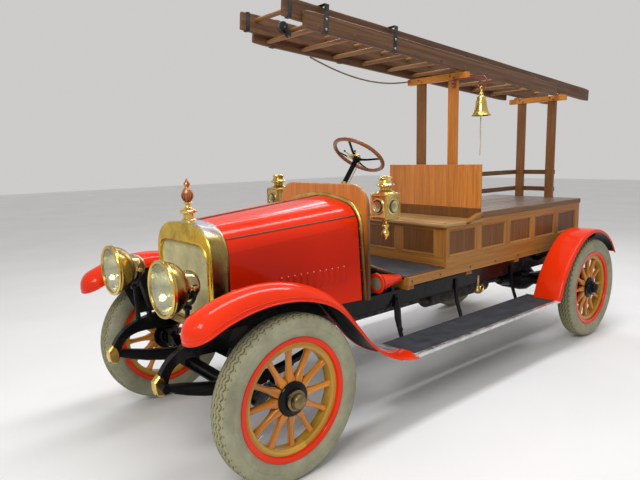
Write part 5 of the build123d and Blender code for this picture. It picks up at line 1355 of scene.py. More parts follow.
for side, sign in SIDES:
    outside = [[edge_point(p, sign * x, drop) for x, drop in REAR_SECTION] for p in rear_walk]
    inner_section = [
        (between(REAR_MID, x, 1 - SHEET_T / REAR_HALF), drop + (SHEET_T if drop < 0.02 else 0))
        for x, drop in REAR_SECTION
    ]
    inside = [[edge_point(p, sign * x, drop) for x, drop in inner_section] for p in rear_walk]
    sheet_shape(outside, inside).build(
        f"rear_fender_{side}", "chassis", "red_paint", ("rear_fenders",), angle=60
    )

    bead = Shape("red")
    for x in (0.564, 0.800):
        bead.tube([edge_point(p, sign * x, 0.024) for p in rear_walk], 0.005, 0, 8)
    end_line = [(between(0.564, 0.800, k / 12), 0.014 if k in (0, 12) else 0.003) for k in range(13)]
    bead.tube([edge_point(rear_walk[-1], sign * x, drop) for x, drop in end_line], 0.0045, 0, 8)
    for p in rear_walk:
        if near(p, 3.15, 3.75):
            for x in (0.648, 0.668):
                bead.rivet(edge_point(p, sign * x, -0.0003), (0, -math.sin(p[2]), math.cos(p[2])), 0.0065)
    bead.build(f"rear_fender_bead_{side}", "chassis", "red_paint", angle=60)


# Running boards: ribbed rubber in an aluminium edge
BOARD_IN, BOARD_OUT = 0.474, 0.790
BOARD_FRONT, BOARD_BACK = behind(0.955), behind(2.862)
RIBS = 36
# A rib's profile: share of the pitch, distance below the board's top
RIB = ((0.12, 0.0032), (0.24, 0.0008), (0.66, 0.0008), (0.78, 0.0032))
# Edge trim: distance inside the board's outer edge and Z, and at the ends distance inside and Z
LIP = mm(
    (30, 441), (29, 443.2), (10, 443.8), (3, 442.5), (0, 438), (0, 424), (2, 420), (12, 420), (12, 423),
    (4, 424), (4, 436), (30, 438)
)
END_LIP = mm((0, 424), (0, 440), (3, 443.2), (14, 443.2), (14, 436), (3, 424))
for side, sign in SIDES:
    base = Shape("black")
    base.plank(
        (BOARD_IN, BOARD_FRONT + 0.004, BOARD_LOW),
        (BOARD_OUT - 0.004, BOARD_BACK - 0.004, BOARD_TOP - 0.005)
    )
    mat = Shape("rubber")
    start_x, stop_x = BOARD_IN + 0.008, BOARD_OUT - 0.024
    pitch = (stop_x - start_x) / RIBS
    section = [(start_x, BOARD_TOP - 0.006)]
    section += [(start_x + (k + share) * pitch, BOARD_TOP - fall) for k in range(RIBS) for share, fall in RIB]
    section.append((stop_x, BOARD_TOP - 0.006))
    mat.bar(section, "y", BOARD_FRONT + 0.012, BOARD_BACK - 0.012, closed=False)
    trim = Shape("aluminium", "steel")
    trim.bar([(BOARD_OUT - inside, z) for inside, z in LIP], "y", BOARD_FRONT + 0.001, BOARD_BACK - 0.001)
    for y, inward in ((BOARD_FRONT, 1), (BOARD_BACK, -1)):
        trim.bar([(y + inward * inside, z) for inside, z in END_LIP], "x", BOARD_IN, BOARD_OUT - 0.004)
    for k in range(13):
        y = between(BOARD_FRONT + 0.05, BOARD_BACK - 0.05, k / 12)
        trim.rivet((BOARD_OUT - 0.020, y, BOARD_TOP + 0.0012), (0, 0, 1), 0.0042, 1)
    for shape, name, slot, replaces, bevel in (
        (base, "base", "black_paint", (), 0.0015), (mat, "mat", "board_rubber", ("running_boards",), 0),
        (trim, "edge", "board_rubber", (), 0),
    ):
        shape.verts = [Vector((sign * v.x, v.y, v.z)) for v in shape.verts]
        shape.build(f"running_board_{side}_{name}", "chassis", slot, replaces, bevel, 30)


# Body box: oak frames round darker panels with mouldings
BODY_HALF, WALL = 0.471, 0.024
BOX_FRONT, BOX_BACK = behind(1.690), behind(3.820)
SEAT_BACK_Y = behind(2.134)
SILL_TOP, BENCH_LOW, BOX_TOP, DECK_TOP = 0.838, 1.146, 1.205, 1.229
PANELS, PANEL_LOW, PANEL_TOP, PANEL_W, PANEL_PITCH = 5, 0.924, 1.130, 0.355, 0.417
PANEL_STARTS = [behind(1.722) + k * PANEL_PITCH for k in range(PANELS)]
# Moulding round a panel: distance inwards, depth
MOULDING = mm((0, 0), (1.5, -1.8), (6, -2.2), (10, 0), (13, 4.5), (16, 5.8), (18, 9.5))


def panel_frame(shape, u0, u1, to_world, wall="side"):
    """Sunk panel and the moulding round it, between u0 and u1 along a side or end wall."""
    inset, face = MOULDING[-1]
    corners = [(u0, PANEL_LOW), (u1, PANEL_LOW), (u1, PANEL_TOP), (u0, PANEL_TOP)]
    middle = ((u0 + u1) / 2, (PANEL_LOW + PANEL_TOP) / 2)
    rings = []
    for u, z in corners:
        du = math.copysign(1, middle[0] - u)
        dz = math.copysign(1, middle[1] - z)
        rings.append([to_world(u + du * inward, depth, z + dz * inward) for inward, depth in MOULDING])
    shift = rng.uniform(0, 9)
    for k in range(4):
        pair = [rings[k], rings[(k + 1) % 4]]
        along_z = k % 2 == 1
        grain = []
        for u, z in (corners[k], corners[(k + 1) % 4]):
            along, aside = (z, u) if along_z else (u, z)
            grain += [(along + shift, aside + d * 0.003, shift) for d in range(len(MOULDING))]
        shape.rings(pair, 0, closed=False, grain=grain)
    cells = 4
    verts, faces = [], []
    for k in range(cells + 1):
        u = between(u0 + inset, u1 - inset, k / cells)
        verts += [to_world(u, face, PANEL_LOW + inset), to_world(u, face, PANEL_TOP - inset)]
    for k in range(cells):
        faces.append((2 * k, 2 * k + 2, 2 * k + 3, 2 * k + 1))
    seed = rng.uniform(0, 9)
    grain = [(v[2] + seed, (v[1] if wall == "side" else v[0]) + seed, seed) for v in verts]
    shape.add(verts, faces, 1, None, grain)


sides = Shape("oak", "panel")
for y0, y1, z0, z1, tone in (
    (BOX_FRONT, BOX_BACK, SILL_TOP, PANEL_LOW, 0.8), (BOX_FRONT, SEAT_BACK_Y, PANEL_TOP, BENCH_LOW, 0.6),
    (SEAT_BACK_Y, BOX_BACK, PANEL_TOP, BOX_TOP, 0.7),
):
    sides.plank((BODY_HALF - WALL, y0, z0), (BODY_HALF, y1, z1), "y", 0, None, tone)
for y0, y1 in zip([BOX_FRONT] + [y + PANEL_W for y in PANEL_STARTS], PANEL_STARTS + [BOX_BACK]):
    sides.plank((BODY_HALF - WALL, y0, PANEL_LOW), (BODY_HALF, y1, PANEL_TOP), "z")
for y0 in PANEL_STARTS:
    panel_frame(sides, y0, y0 + PANEL_W, lambda u, d, z: (BODY_HALF - d, u, z))
sides.mirror()
sides.build("body_side_frames", "chassis", "body_wood", ("body_sides",), bevel=0.0016, angle=30)

for name, y, outward, low, top in (
    ("body_front", BOX_FRONT, -1, 0.852, BENCH_LOW), ("body_rear", BOX_BACK, 1, SILL_TOP, BOX_TOP),
):
    end = Shape("oak", "panel")
    half = BODY_HALF - WALL
    ys = sorted((y, y - outward * WALL))
    end.plank((-half, ys[0], low), (half, ys[1], PANEL_LOW), "x", 0, None, 0.9)
    end.plank((-half, ys[0], PANEL_TOP), (half, ys[1], top), "x", 0, None, 0.6)
    for x0, x1 in ((-half, -0.360), (-0.030, 0.030), (0.360, half)):
        end.plank((x0, ys[0], PANEL_LOW), (x1, ys[1], PANEL_TOP), "z")
    for x0 in (-0.360, 0.030):
        panel_frame(end, x0, x0 + 0.330, lambda u, d, z: (u, y - outward * d, z), "end")
    end.build(f"{name}_frame", "chassis", "body_wood", (name,), bevel=0.0016, angle=30)

# Sills and cross bearers
sill = Shape("oak", "dark_rail")
sill.plank((BODY_HALF - 0.041, behind(1.262), 0.781), (BODY_HALF, BOX_BACK, SILL_TOP), "y", 0, None, 0.95)
for back in (1.30, 1.62, 2.00, 2.35, 2.70, 3.05, 3.40, 3.70):
    sill.bolt((BODY_HALF, behind(back), 0.810), (1, 0, 0), 0.007, 0.005, 1, 4)
sill.mirror()
for back in (1.300, 2.000, 2.700, 3.400):
    low, high = (
        -BODY_HALF + 0.012, behind(back) - 0.035, 0.750
    ), (BODY_HALF - 0.012, behind(back) + 0.035, 0.8175)
    sill.plank(low, high, "x", 0, None, 0.2)
sill.build("body_sills", "chassis", "body_wood", ("sills",), bevel=0.002, angle=30)

# Deck of boards with a rounded nosing
deck = Shape("deck", "dark_rail")
deck_front, deck_back, deck_half = SEAT_BACK_Y, BOX_BACK + 0.008, BODY_HALF + 0.006
boards = 7
width = 2 * (deck_half - 0.020) / boards
for k in range(boards):
    x0 = -deck_half + 0.020 + k * width
    deck.plank(
        (x0 + 0.0009, deck_front + 0.002, 1.207), (x0 + width - 0.0009, deck_back - 0.020, DECK_TOP), "y", 0
    )
nosing = mm(
    (20, 1183), (5.5, 1183), (1.5, 1185), (0, 1189), (0, 1222.5), (2, 1226.5), (6, 1228.8), (20, 1229)
)
for sign in (1, -1):
    section = [(sign * (deck_half - i), z) for i, z in nosing]
    grain = [(y, i, z) for y in (0, 1.7) for i, z in nosing]
    deck.bar(section, "y", deck_front, deck_back - 0.0005, 1, grain=grain)
grain = [(x, i, z) for x in (0, 0.95) for i, z in nosing]
deck.bar([(deck_back - i, z) for i, z in nosing], "x", -deck_half + 0.001, deck_half - 0.001, 1, grain=grain)
for k in range(boards):
    x = -deck_half + 0.020 + (k + 0.5) * width
    for back in (2.16, 2.70, 3.25, 3.79):
        for dx in (-0.04, 0.04):
            deck.rivet((x + dx, behind(back), 1.2288), (0, 0, 1), 0.0036, 1)
deck.build("deck_boards", "chassis", "deck_wood", ("deck",), bevel=0.0015, angle=30)

# Seat board with a rounded nose, and the moulding that rises from it to the deck
seat = Shape("seat_top", "oak")
seat_half = BODY_HALF + 0.012
nose = mm(
    (60, 1146), (12, 1146), (4, 1149), (0, 1156), (0, 1164), (3, 1171.5), (9, 1175.5), (16, 1176),
    (60, 1176)
)
# Outline from the rear left, round the front corners: distance inside the side, Y
seat_corner = [(i, BOX_FRONT - ahead) for i, ahead in mm((0, 4), (6, 19), (18, 30), (34, 34))]
seat_corner.insert(0, (0, SEAT_BACK_Y))
front_line = [(-seat_half + i, y) for i, y in seat_corner]
front_line += [(seat_half - i, y) for i, y in reversed(seat_corner)]
rings = []
for i, (x, y) in enumerate(front_line):
    ax, ay = front_line[max(i - 1, 0)]
    bx, by = front_line[min(i + 1, len(front_line) - 1)]
    run = Vector((bx - ax, by - ay)).normalized()
    nx, ny = -run.y, run.x
    stretch = 1.0 if i in (0, len(front_line) - 1) else 1.05
    rings.append([(x + nx * d * stretch, y + ny * d * stretch, z) for d, z in nose])
lengths, total = [0.0], 0.0
for (ax, ay), (bx, by) in zip(front_line, front_line[1:]):
    total += math.hypot(bx - ax, by - ay)
    lengths.append(total)
seat.rings(rings, 0, closed=False, grain=[(length, d, z) for length in lengths for d, z in nose])
planks = 4
depth = (SEAT_BACK_Y - (BOX_FRONT + 0.020)) / planks
for k in range(planks):
    y0 = BOX_FRONT + 0.020 + k * depth
    seat.plank(
        (-seat_half + 0.055, y0 + 0.0006, 1.150), (seat_half - 0.055, y0 + depth - 0.0006, 1.1757), "x", 0
    )
seat.plank(
    (-seat_half + 0.05, BOX_FRONT - 0.012, 1.150), (seat_half - 0.05, BOX_FRONT + 0.0194, 1.1757), "x", 0
)
# Rising side moulding
rise = []
for k in range(21):
    t = k / 20
    smooth = t * t * (3 - 2 * t)
    rise.append((between(SEAT_BACK_Y - 0.215, SEAT_BACK_Y, t), between(1.1762, DECK_TOP, smooth)))
for sign in (1, -1):
    rings = []
    for y, z in rise:
        low = max(1.1465, z - 0.030)
        section = (
            (0.034, low), (0.003, low), (0, low + 0.006), (0, z - 0.008), (0.003, z - 0.002), (0.009, z),
            (0.034, z)
        )
        rings.append([(sign * (seat_half - i), y, height) for i, height in section])
    seat.rings(rings, 1, grain=[(y, i * 0.01, 0.3) for y, z in rise for i in range(7)])
    # Wall under the rise
    for y0, y1, z in (
        (SEAT_BACK_Y - 0.09, SEAT_BACK_Y, 1.200), (SEAT_BACK_Y - 0.16, SEAT_BACK_Y - 0.09, 1.178)
    ):
        seat.side_plank(sign, (BODY_HALF - 0.022, y0, BENCH_LOW), (BODY_HALF, y1, z), "y", 1)
seat.build("seat_boards", "chassis", "body_wood", ("seat_board",), bevel=0.001, angle=30)

# Seat back: upright grain with a dark foot band
back = Shape("orange_z", "panel")
y0, y1 = SEAT_BACK_Y - 0.022, SEAT_BACK_Y
back.plank((-BODY_HALF, y0, 1.2555), (BODY_HALF, y1, 1.600), "z", 0, None, 1.0)
back.plank((-BODY_HALF + 0.001, y0 - 0.003, 1.1765), (BODY_HALF - 0.001, y1, 1.2555), "z", 1, None, 0.8)
back.build("seat_back_board", "chassis", "body_wood", ("seat_back",), bevel=0.003, angle=30)


# Ladder rack: posts, crossbars and side rails
POST_X, FRONT_POSTS, REAR_POSTS = 0.162, 2.172, 3.803
for name, back, top in (("rack_front", FRONT_POSTS, 2.320), ("rack_rear", REAR_POSTS, 2.230)):
    trestle = Shape(
        "orange" if name == "rack_front" else "post_dark", "brass_dull", "oak", "post_dark", "orange"
    )
    y = behind(back)
    for sign in (1, -1):
        low, high = (POST_X - 0.041, y - 0.016, DECK_TOP), (POST_X + 0.041, y + 0.016, top - 0.008)
        # The near front post is orange; the far posts and all rear posts take the darker wood as painted
        # shade
        look, tone = (0, 0.8) if sign > 0 else (3, 0.9)
        trestle.side_plank(sign, low, high, "z", look, None, tone)
        for dx, dz in ((-0.018, -0.018), (0.018, -0.036)):
            for face in (-1, 1):
                trestle.bolt((sign * POST_X + dx, y + face * 0.023, top + dz), (0, face, 0), 0.006, 0.006, 1)
        if name == "rack_rear":
            trestle.side_plank(sign, (0.201, y - 0.023, top), (0.241, y + 0.023, top + 0.013), "y", 2)
    trestle.plank((-0.297, y - 0.023, top - 0.050), (0.297, y + 0.023, top), "x", 4, None, 0.9)
    trestle.build(f"{name}_timber", "chassis", "rack_wood", (name,), bevel=0.003, angle=30)

rails = Shape("dark_rail", "steel")
front_y, rear_y = behind(FRONT_POSTS), behind(REAR_POSTS)
for z in (1.310, 1.480):
    rails.plank((-0.225, front_y - 0.016, z - 0.022), (-0.203, rear_y + 0.016, z + 0.022), "y", 0)
    rails.plank((-0.225, rear_y + 0.016, z - 0.022), (0.200, rear_y + 0.038, z + 0.022), "x", 0)
    for back in (FRONT_POSTS, REAR_POSTS):
        for dz in (-0.010, 0.010):
            rails.bolt((-0.225, behind(back), z + dz), (-1, 0, 0), 0.0055, 0.005, 1)
    for sign in (1, -1):
        for dx in (-0.02, 0.02):
            rails.bolt((sign * POST_X + dx, rear_y + 0.038, z), (0, 1, 0), 0.0055, 0.005, 1)
rails.build("rack_side_rails", "chassis", "rack_wood", ("rack_rails",), bevel=0.002, angle=30)


# Ladders, drawn in their own frame: X across, Y along to the rear, Z square to the rails
SLOPE = math.atan(0.0744)
LADDER = Matrix.Translation((0, behind(FRONT_POSTS), 2.3218)) @ Matrix.Rotation(-SLOPE, 4, "X")


def along_ladder(distance):
    """Y in the ladder's frame of a distance behind the front axle."""
    return (distance - FRONT_POSTS) / math.cos(SLOPE)


def rung_places(front, back):
    """Y of the rungs of a ladder, 0.3 m apart."""
    return [front + 0.110 + rung * 0.3 for rung in range(int((back - front - 0.2) // 0.3) + 1)]


def ladder_rail(shape, x0, x1, y0, y1, z0, z1, sign):
    """Rail with rounded edges and a slightly worn, waving top."""
    steps = 40
    rings, grain = [], []
    chamfer = 0.005
    shift = rng.uniform(0, 9)
    for k in range(steps + 1):
        t = k / steps
        y = between(y0, y1, t)
        wear = 0.0012 * math.sin(9.0 * t + shift) + 0.0008 * math.sin(23.0 * t + 2 * shift)
        squeeze = 0.004 if k in (0, steps) else 0.0
        a, b, low, high = x0 + squeeze, x1 - squeeze, z0 + squeeze, z1 + min(0.0, wear) - squeeze
        ring = [(a + chamfer, low), (b - chamfer, low), (b, low + chamfer), (b, high - chamfer),
                (b - chamfer, high), (a + chamfer, high), (a, high - chamfer), (a, low + chamfer)]
        rings.append([(sign * x, y, z) for x, z in ring])
        grain += [(y + shift, x + shift, z) for x, z in ring]
    shape.rings(rings, 0, LADDER, grain=grain)


def ladder_rung(shape, half, y, z, slot):
    """Turned rung, thicker in the middle, with a shoulder at each rail."""
    shift = rng.uniform(0, 9)
    rings, grain = [], []
    half_rung = ((0, 0.0150), (0.5, 0.0150), (0.86, 0.0145), (0.93, 0.0130), (1, 0.0125))
    for t, r in [(-t, r) for t, r in reversed(half_rung[1:])] + list(half_rung):
        ring = [(t * half, y + r * c, z + r * s) for c, s in circle(14)]
        rings.append(ring)
        grain += [(p[0] + shift, p[1] - y + shift, p[2] - z) for p in ring]
    shape.rings(rings, slot, LADDER, grain=grain)


BASE_OUT, BASE_FRONT, BASE_BACK = 0.285, along_ladder(0.540), along_ladder(3.650)
FLY_OUT, FLY_FRONT, FLY_BACK, FLY_LIFT = 0.238, along_ladder(0.412), along_ladder(4.425), 0.050
base = Shape("ladder", "rung", "iron", "steel")
for sign in (1, -1):
    ladder_rail(base, BASE_OUT - 0.036, BASE_OUT, BASE_FRONT, BASE_BACK, 0.0, 0.108, sign)
for y in rung_places(BASE_FRONT, BASE_BACK):
    ladder_rung(base, BASE_OUT - 0.004, y, 0.024, 1)
    for sign in (1, -1):
        end_place = LADDER @ axis_place((sign * BASE_OUT, y, 0.024), (sign, 0, 0))
        base.lathe(mm((16, 0), (14.5, 1.5), (0, 2)), end_place, 0, 16)
for distance in (0.700, 1.330):
    y = along_ladder(distance)
    section = mm((-20, 38), (20, 38), (20, 48.5), (17, 49), (-17, 49), (-20, 48.5))
    base.bar([(y + dy, z) for dy, z in section], "x", -BASE_OUT + 0.010, BASE_OUT - 0.010, 1, LADDER)
    for sign in (1, -1):
        # Iron strap: round the outside of the rail, up and over the sliding rail
        top = FLY_LIFT + 0.118 + 0.002
        low_x, side_x, high_x = BASE_OUT - 0.030, BASE_OUT + 0.003, FLY_OUT - 0.024
        strap = ((low_x, -0.0030), (side_x, -0.0030), (side_x, top + 0.003), (high_x, top + 0.003))
        inner = ((low_x, 0.0005), (side_x - 0.0035, 0.0005), (side_x - 0.0035, top), (high_x, top))
        for k in range(3):
            section = [(sign * x, z) for x, z in (strap[k], strap[k + 1], inner[k + 1], inner[k])]
            base.bar(section, "y", y - 0.018, y + 0.018, 2, LADDER)
        for z in (0.022, 0.082):
            base.bolt((sign * (BASE_OUT + 0.003), y, z), (sign, 0, 0), 0.0065, 0.006, 3, 4, LADDER)
pulley_y = BASE_FRONT + 0.045
wheel_at = LADDER @ axis_place((0, pulley_y, 0.062), (1, 0, 0))
base.lathe(mm(
    (8, -12), (36, -12), (38, -9), (37, -6), (31, 0), (37, 6), (38, 9), (36, 12), (8, 12)
), wheel_at, 2, 36, True)
base.lathe(mm((0, -22), (6.5, -22), (6.5, 22), (0, 22)), wheel_at, 3, 14)
for x in (-0.020, 0.016):
    cheek = mm((-14, 76), (14, 76), (70, 34), (70, 14), (52, 10), (-14, 50))
    base.bar([(pulley_y + dy, z) for dy, z in cheek], "x", x, x + 0.004, 2, LADDER)
base.build("ladder_lower", "chassis", "ladder_wood", ("ladder_base",), bevel=0.0008, angle=35)

fly = Shape("ladder", "rung", "iron")
for sign in (1, -1):
    ladder_rail(fly, FLY_OUT - 0.034, FLY_OUT, FLY_FRONT, FLY_BACK, FLY_LIFT, FLY_LIFT + 0.118, sign)
for y in rung_places(FLY_FRONT, FLY_BACK):
    ladder_rung(fly, FLY_OUT - 0.004, y, FLY_LIFT + 0.080, 1)
# Iron band round the front end of each sliding rail
for sign in (1, -1):
    x0, x1, z0, z1 = FLY_OUT - 0.0355, FLY_OUT + 0.0015, FLY_LIFT - 0.001, FLY_LIFT + 0.119
    band = [(sign * x, z) for x, z in ((x0, z0), (x1, z0), (x1, z1), (x0, z1))]
    fly.bar(band, "y", FLY_FRONT + 0.033, FLY_FRONT + 0.057, 2, LADDER)
fly.build("ladder_upper", "ladder_fly", "ladder_wood", ("ladder_fly",), bevel=0.0006, angle=35)


# Bell on its scrolled bracket
BRACKET_Z, HOOK_R, LOOP_R = 2.266, 0.045, 0.013
bracket = Shape("bracket_red", "steel")
line = [(between(0.192, BELL_X, t), BELL_Y, BRACKET_Z) for t in (0, 0.25, 0.5, 0.75, 1)]
bend = [(HOOK_R * math.sin(a), HOOK_R * (math.cos(a) - 1)) for a in (math.pi * k / 20 for k in range(1, 21))]
bend += arc3((0, -0.090), (-0.028, -0.062), (-0.002, -0.035), 14)[1:]
line += [(BELL_X + dx, BELL_Y, BRACKET_Z + dz) for dx, dz in bend]
radii = [0.0062] * (len(line) - 6) + [0.0060, 0.0058, 0.0056, 0.0052, 0.0048, 0.0040]
bracket.tube(line, radii, 0, 14)
bracket.plank((0.170, BELL_Y - 0.001, BRACKET_Z - 0.058), (0.202, BELL_Y + 0.010, BRACKET_Z + 0.001), "z", 0)
for z in (-0.046, -0.014):
    bracket.bolt((0.181, BELL_Y - 0.001, BRACKET_Z + z), (0, -1, 0), 0.0055, 0.005, 1)
bracket.build("bell_bracket_scroll", "chassis", "red_paint", ("bell_bracket",), bevel=0.0008, angle=40)

hook_low = BRACKET_Z - 2 * HOOK_R
bell_top = hook_low - LOOP_R
crown_z = bell_top - 0.042
crown = Matrix.Translation((BELL_X, BELL_Y, crown_z))
bell = Shape("brass", "steel")
bell.lathe(mm(
    (0, 0), (10, 0.4), (16, 0), (24, -3), (31, -10), (34.5, -20), (35.5, -30), (37.5, -42), (39.5, -45),
    (41, -47), (40.5, -49.5), (40.5, -53), (44, -72), (47.5, -90), (51.5, -106), (54.5, -119),
    (56.5, -123.5), (58.7, -124.5), (58.7, -128), (60, -133), (66, -139.5), (73.5, -143.5), (78, -146),
    (78, -149), (75, -151), (66, -148), (56, -138), (50, -128), (43, -104), (38, -80), (33, -52),
    (28.5, -32), (22, -14), (12, -8), (0, -8)
), crown, 0, 72)
loop = [(BELL_X, BELL_Y + LOOP_R * c, hook_low + LOOP_R * s) for c, s in circle(24)]
bell.tube(loop, 0.005, 0, 12, closed=True)
bell.lathe(mm(
    (0, 0.5), (8, 0), (10, -4), (8, -9), (8.5, -16), (14, -20), (17, -26), (16.5, -33), (12, -38),
    (12, -40.5), (17, -42.5)
), Matrix.Translation((BELL_X, BELL_Y, bell_top)), 0, 28)
ball = crown_z - 0.147
bell.tube([(BELL_X, BELL_Y, crown_z - 0.006), (BELL_X, BELL_Y, ball + 0.010)], 0.0035, 1, 10)
bell.lathe(mm(
    (4, 14), (9, 10), (12.7, 4), (13, 0), (12.7, -4), (9, -10), (5, -14), (4, -22), (6, -25.8), (0, -25.8)
), Matrix.Translation((BELL_X, BELL_Y, ball)), 1, 24)
bell.build("bell_bronze", "bell", "brass", ("bell",), angle=40)


# Steering column, wheel with a wooden rim, quadrant and levers
HUB = Vector((-0.280, behind(1.530), 1.690))
AXIS = Vector((0, 0.6, 0.8))
column_place = axis_place(HUB, AXIS, (1, 0, 0))
column = Shape("black", "brass", "iron", "steel")
column.lathe(mm((20, -1190), (20, -75), (22, -73), (22, -32), (12.5, -30)), column_place, 0, 28)
column.lathe(mm((22.5, -300), (22.5, -285)), column_place, 1, 28)
for h in (-0.66, -0.28):
    column.lathe([
        (0.0195, h - 0.016), (0.0245, h - 0.014), (0.0245, h + 0.014), (0.0195, h + 0.016)
    ], column_place, 1, 28)
box_end = HUB - AXIS * 1.21
box = axis_place(box_end, AXIS, (1, 0, 0))
column.lathe(mm(
    (0, -55), (46, -55), (52, -49), (52, -30), (47, -26), (47, 26), (52, 30), (52, 49), (46, 55), (30, 62),
    (24, 75)
), box, 2, 40)
column.plank((-0.375, box_end.y - 0.020, 0.750), (-0.295, box_end.y + 0.040, 0.794), "x", 2)
# Control rods beside the column, up to the quadrant
for offset in (0.036, -0.036):
    rod = [column_place @ Vector((offset, 0.012, h)) for h in (-0.78, -0.5, -0.2, -0.045)]
    column.tube(rod, 0.0042, 1, 8)
SECTOR_R, SECTOR_Z = 0.075, -0.046


def on_column(degrees, reach, height):
    """Place round the steering column, by angle and distance from its axis."""
    a = math.radians(degrees)
    return column_place @ Vector((reach * math.cos(a), reach * math.sin(a), height))


column.tube([on_column(200 + 140 * k / 24, SECTOR_R, SECTOR_Z) for k in range(25)], 0.0045, 1, 8)
for a in (215, 270, 325):
    column.tube([on_column(0, 0, SECTOR_Z), on_column(a, SECTOR_R, SECTOR_Z)], 0.004, 1, 8)
for a, reach in ((238, 0.115), (300, 0.108)):
    lever = [on_column(a, r, z) for r, z in ((0.02, -0.040), (0.06, -0.038), (reach, -0.030))]
    column.tube(lever, [0.005, 0.004, 0.0035], 3, 8)
    knob = axis_place(on_column(a, reach, -0.029), AXIS, (1, 0, 0))
    column.lathe(mm((0, -9), (6, -6), (9, 0), (6, 6), (0, 9)), knob, 0, 14)
column.build("steering_column_rods", "chassis", "black_paint", ("steering_column",), bevel=0.0012, angle=40)

# Rim with finger grips along its underside
RIM_STEPS, RIM_R = 96, 0.210
rim = Shape("steer")
rings, grain = [], []
for k in range(RIM_STEPS):
    a = math.tau * k / RIM_STEPS
    grip = 0.0011 * abs(math.sin(a * 24)) ** 6
    ring = []
    for c, s in circle(18):
        r = 0.0165 - (grip if s < 0 else 0.0)
        ring.append(((RIM_R + r * c) * math.cos(a), (RIM_R + r * c) * math.sin(a), r * s * 0.95))
        grain.append((a * 0.205, r * c, r * s))
    rings.append(ring)
rim.rings(rings, 0, column_place, loop=True, grain=grain)
rim.build("steering_rim", "steering_wheel", "steer_wood", ("steering_wheel",), angle=60)
# Arm of the wheel: distance from its centre, half-width, half-height, Z
SPIDER_ARM = mm(
    (24, 18, 8.4, -38), (50, 14, 7.2, -36), (100, 11.5, 6.3, -28), (150, 11, 6, -14), (188, 12, 5.4, -4),
    (205, 17, 4.8, 0)
)
spider = Shape("black", "brass")
spider.lathe(mm(
    (0, -60), (24, -60), (32, -54), (35, -38), (34, -24), (28, -16), (18, -12)
), column_place, 0, 32)
spider.lathe(mm((19, -12.5), (19, -4), (15, 1), (0, 2)), column_place, 1, 28)
spider.lathe(mm((11.8, -140), (11.8, -56)), column_place, 0, 16)
for quarter in range(4):
    a = math.radians(15 + 90 * quarter)
    d, aside = Vector((math.cos(a), math.sin(a), 0)), Vector((-math.sin(a), math.cos(a), 0))
    rings = [
        [d * r + aside * (w * c) + Vector((0, 0, z + h * s)) for c, s in circle(14)]
        for r, w, h, z in SPIDER_ARM
    ]
    spider.rings(rings, 0, column_place)
    spider.bolt(tuple(d * 0.198 + Vector((0, 0, -0.0045))), (0, 0, -1), 0.004, 0.003, 1, 10, column_place)
spider.build("steering_spider", "steering_wheel", "black_paint", angle=50)


# Extinguisher lying in its saddles
CAN = (0.408, behind(1.000), 0.834)
can = Shape("red", "black", "cream", "brass_old")
can_place = axis_place(CAN, (0, 1, 0), (0, 0, 1))
can.lathe(mm(
    (44, 3.5), (48, 0), (62, -0.2), (67, 2), (69, 6), (69, 12), (66, 16), (62, 18)
), can_place, 0, 56)
can.lathe(mm((62.5, 16), (52, 74), (40, 142), (22.2, 239.5)), can_place, 0, 56)
can.lathe(mm((63, 16.5), (64, 18), (62.2, 28), (60, 29)), can_place, 1, 56)
can.lathe(mm((45, 4.2), (45, 2.8), (30, 1.2), (0, 0.6)), can_place, 2, 48)
can.lathe(mm((22.5, 239), (20, 242), (13.5, 244.5), (12, 250), (9, 252), (0, 252)), can_place, 3, 32)
for back, top in ((1.050, 0.790), (1.180, 0.812)):
    can.plank((0.360, behind(back) - 0.013, 0.750), (0.400, behind(back) + 0.013, top), "y", 1)
can.build("extinguisher_can", "chassis", "red_paint", ("extinguisher",), bevel=0.0008, angle=35)


# Floor and toe board under rubber, with pedals
FLOOR_FRONT, FLOOR_TOP, FLOOR_HALF = behind(1.262), 0.852, 0.447
TOE_Y, TOE_Z, TOE_HALF = behind(0.985), 0.966, 0.334
boards = Shape("deck", "mat", "brass_old", "steel")
for k in range(6):
    x0, x1 = (between(-FLOOR_HALF, FLOOR_HALF, edge / 6) for edge in (k, k + 1))
    boards.plank((x0 + 0.0006, FLOOR_FRONT, SILL_TOP), (x1 - 0.0006, BOX_BACK - 0.024, 0.850), "y", 0)
# The mat's cross lines from the seat to the toe board's top: Y and Z
MAT_LINES = (
    (BOX_FRONT - 0.026, FLOOR_TOP), (FLOOR_FRONT + 0.03, FLOOR_TOP), (FLOOR_FRONT + 0.008, 0.8535),
    (FLOOR_FRONT - 0.012, 0.858), (between(FLOOR_FRONT, TOE_Y, 0.35), between(FLOOR_TOP, TOE_Z, 0.33)),
    (TOE_Y, TOE_Z - 0.002),
)
mat_rings = []
for y, z in MAT_LINES:
    half = 0.440 if y > FLOOR_FRONT + 0.02 else TOE_HALF
    ribs = [(between(-half, half, k / 40), y, z + (0.0012 if k % 2 else 0)) for k in range(1, 40)]
    mat_rings.append([(-half, y, z - 0.004), (-half, y, z), *ribs, (half, y, z), (half, y, z - 0.004)])
boards.rings(mat_rings, 1, closed=False)
toe = Vector((0, TOE_Y - FLOOR_FRONT, TOE_Z - FLOOR_TOP)).normalized()
toe_section = (
    (FLOOR_FRONT, SILL_TOP), (FLOOR_FRONT, 0.8495), (TOE_Y, TOE_Z - 0.0045), (TOE_Y, TOE_Z - 0.014)
)
boards.bar(toe_section, "x", -TOE_HALF, TOE_HALF)
for x in (-TOE_HALF, TOE_HALF):
    boards.tube([(x, FLOOR_FRONT, 0.851), (x, TOE_Y, TOE_Z - 0.003)], 0.004, 2, 8)
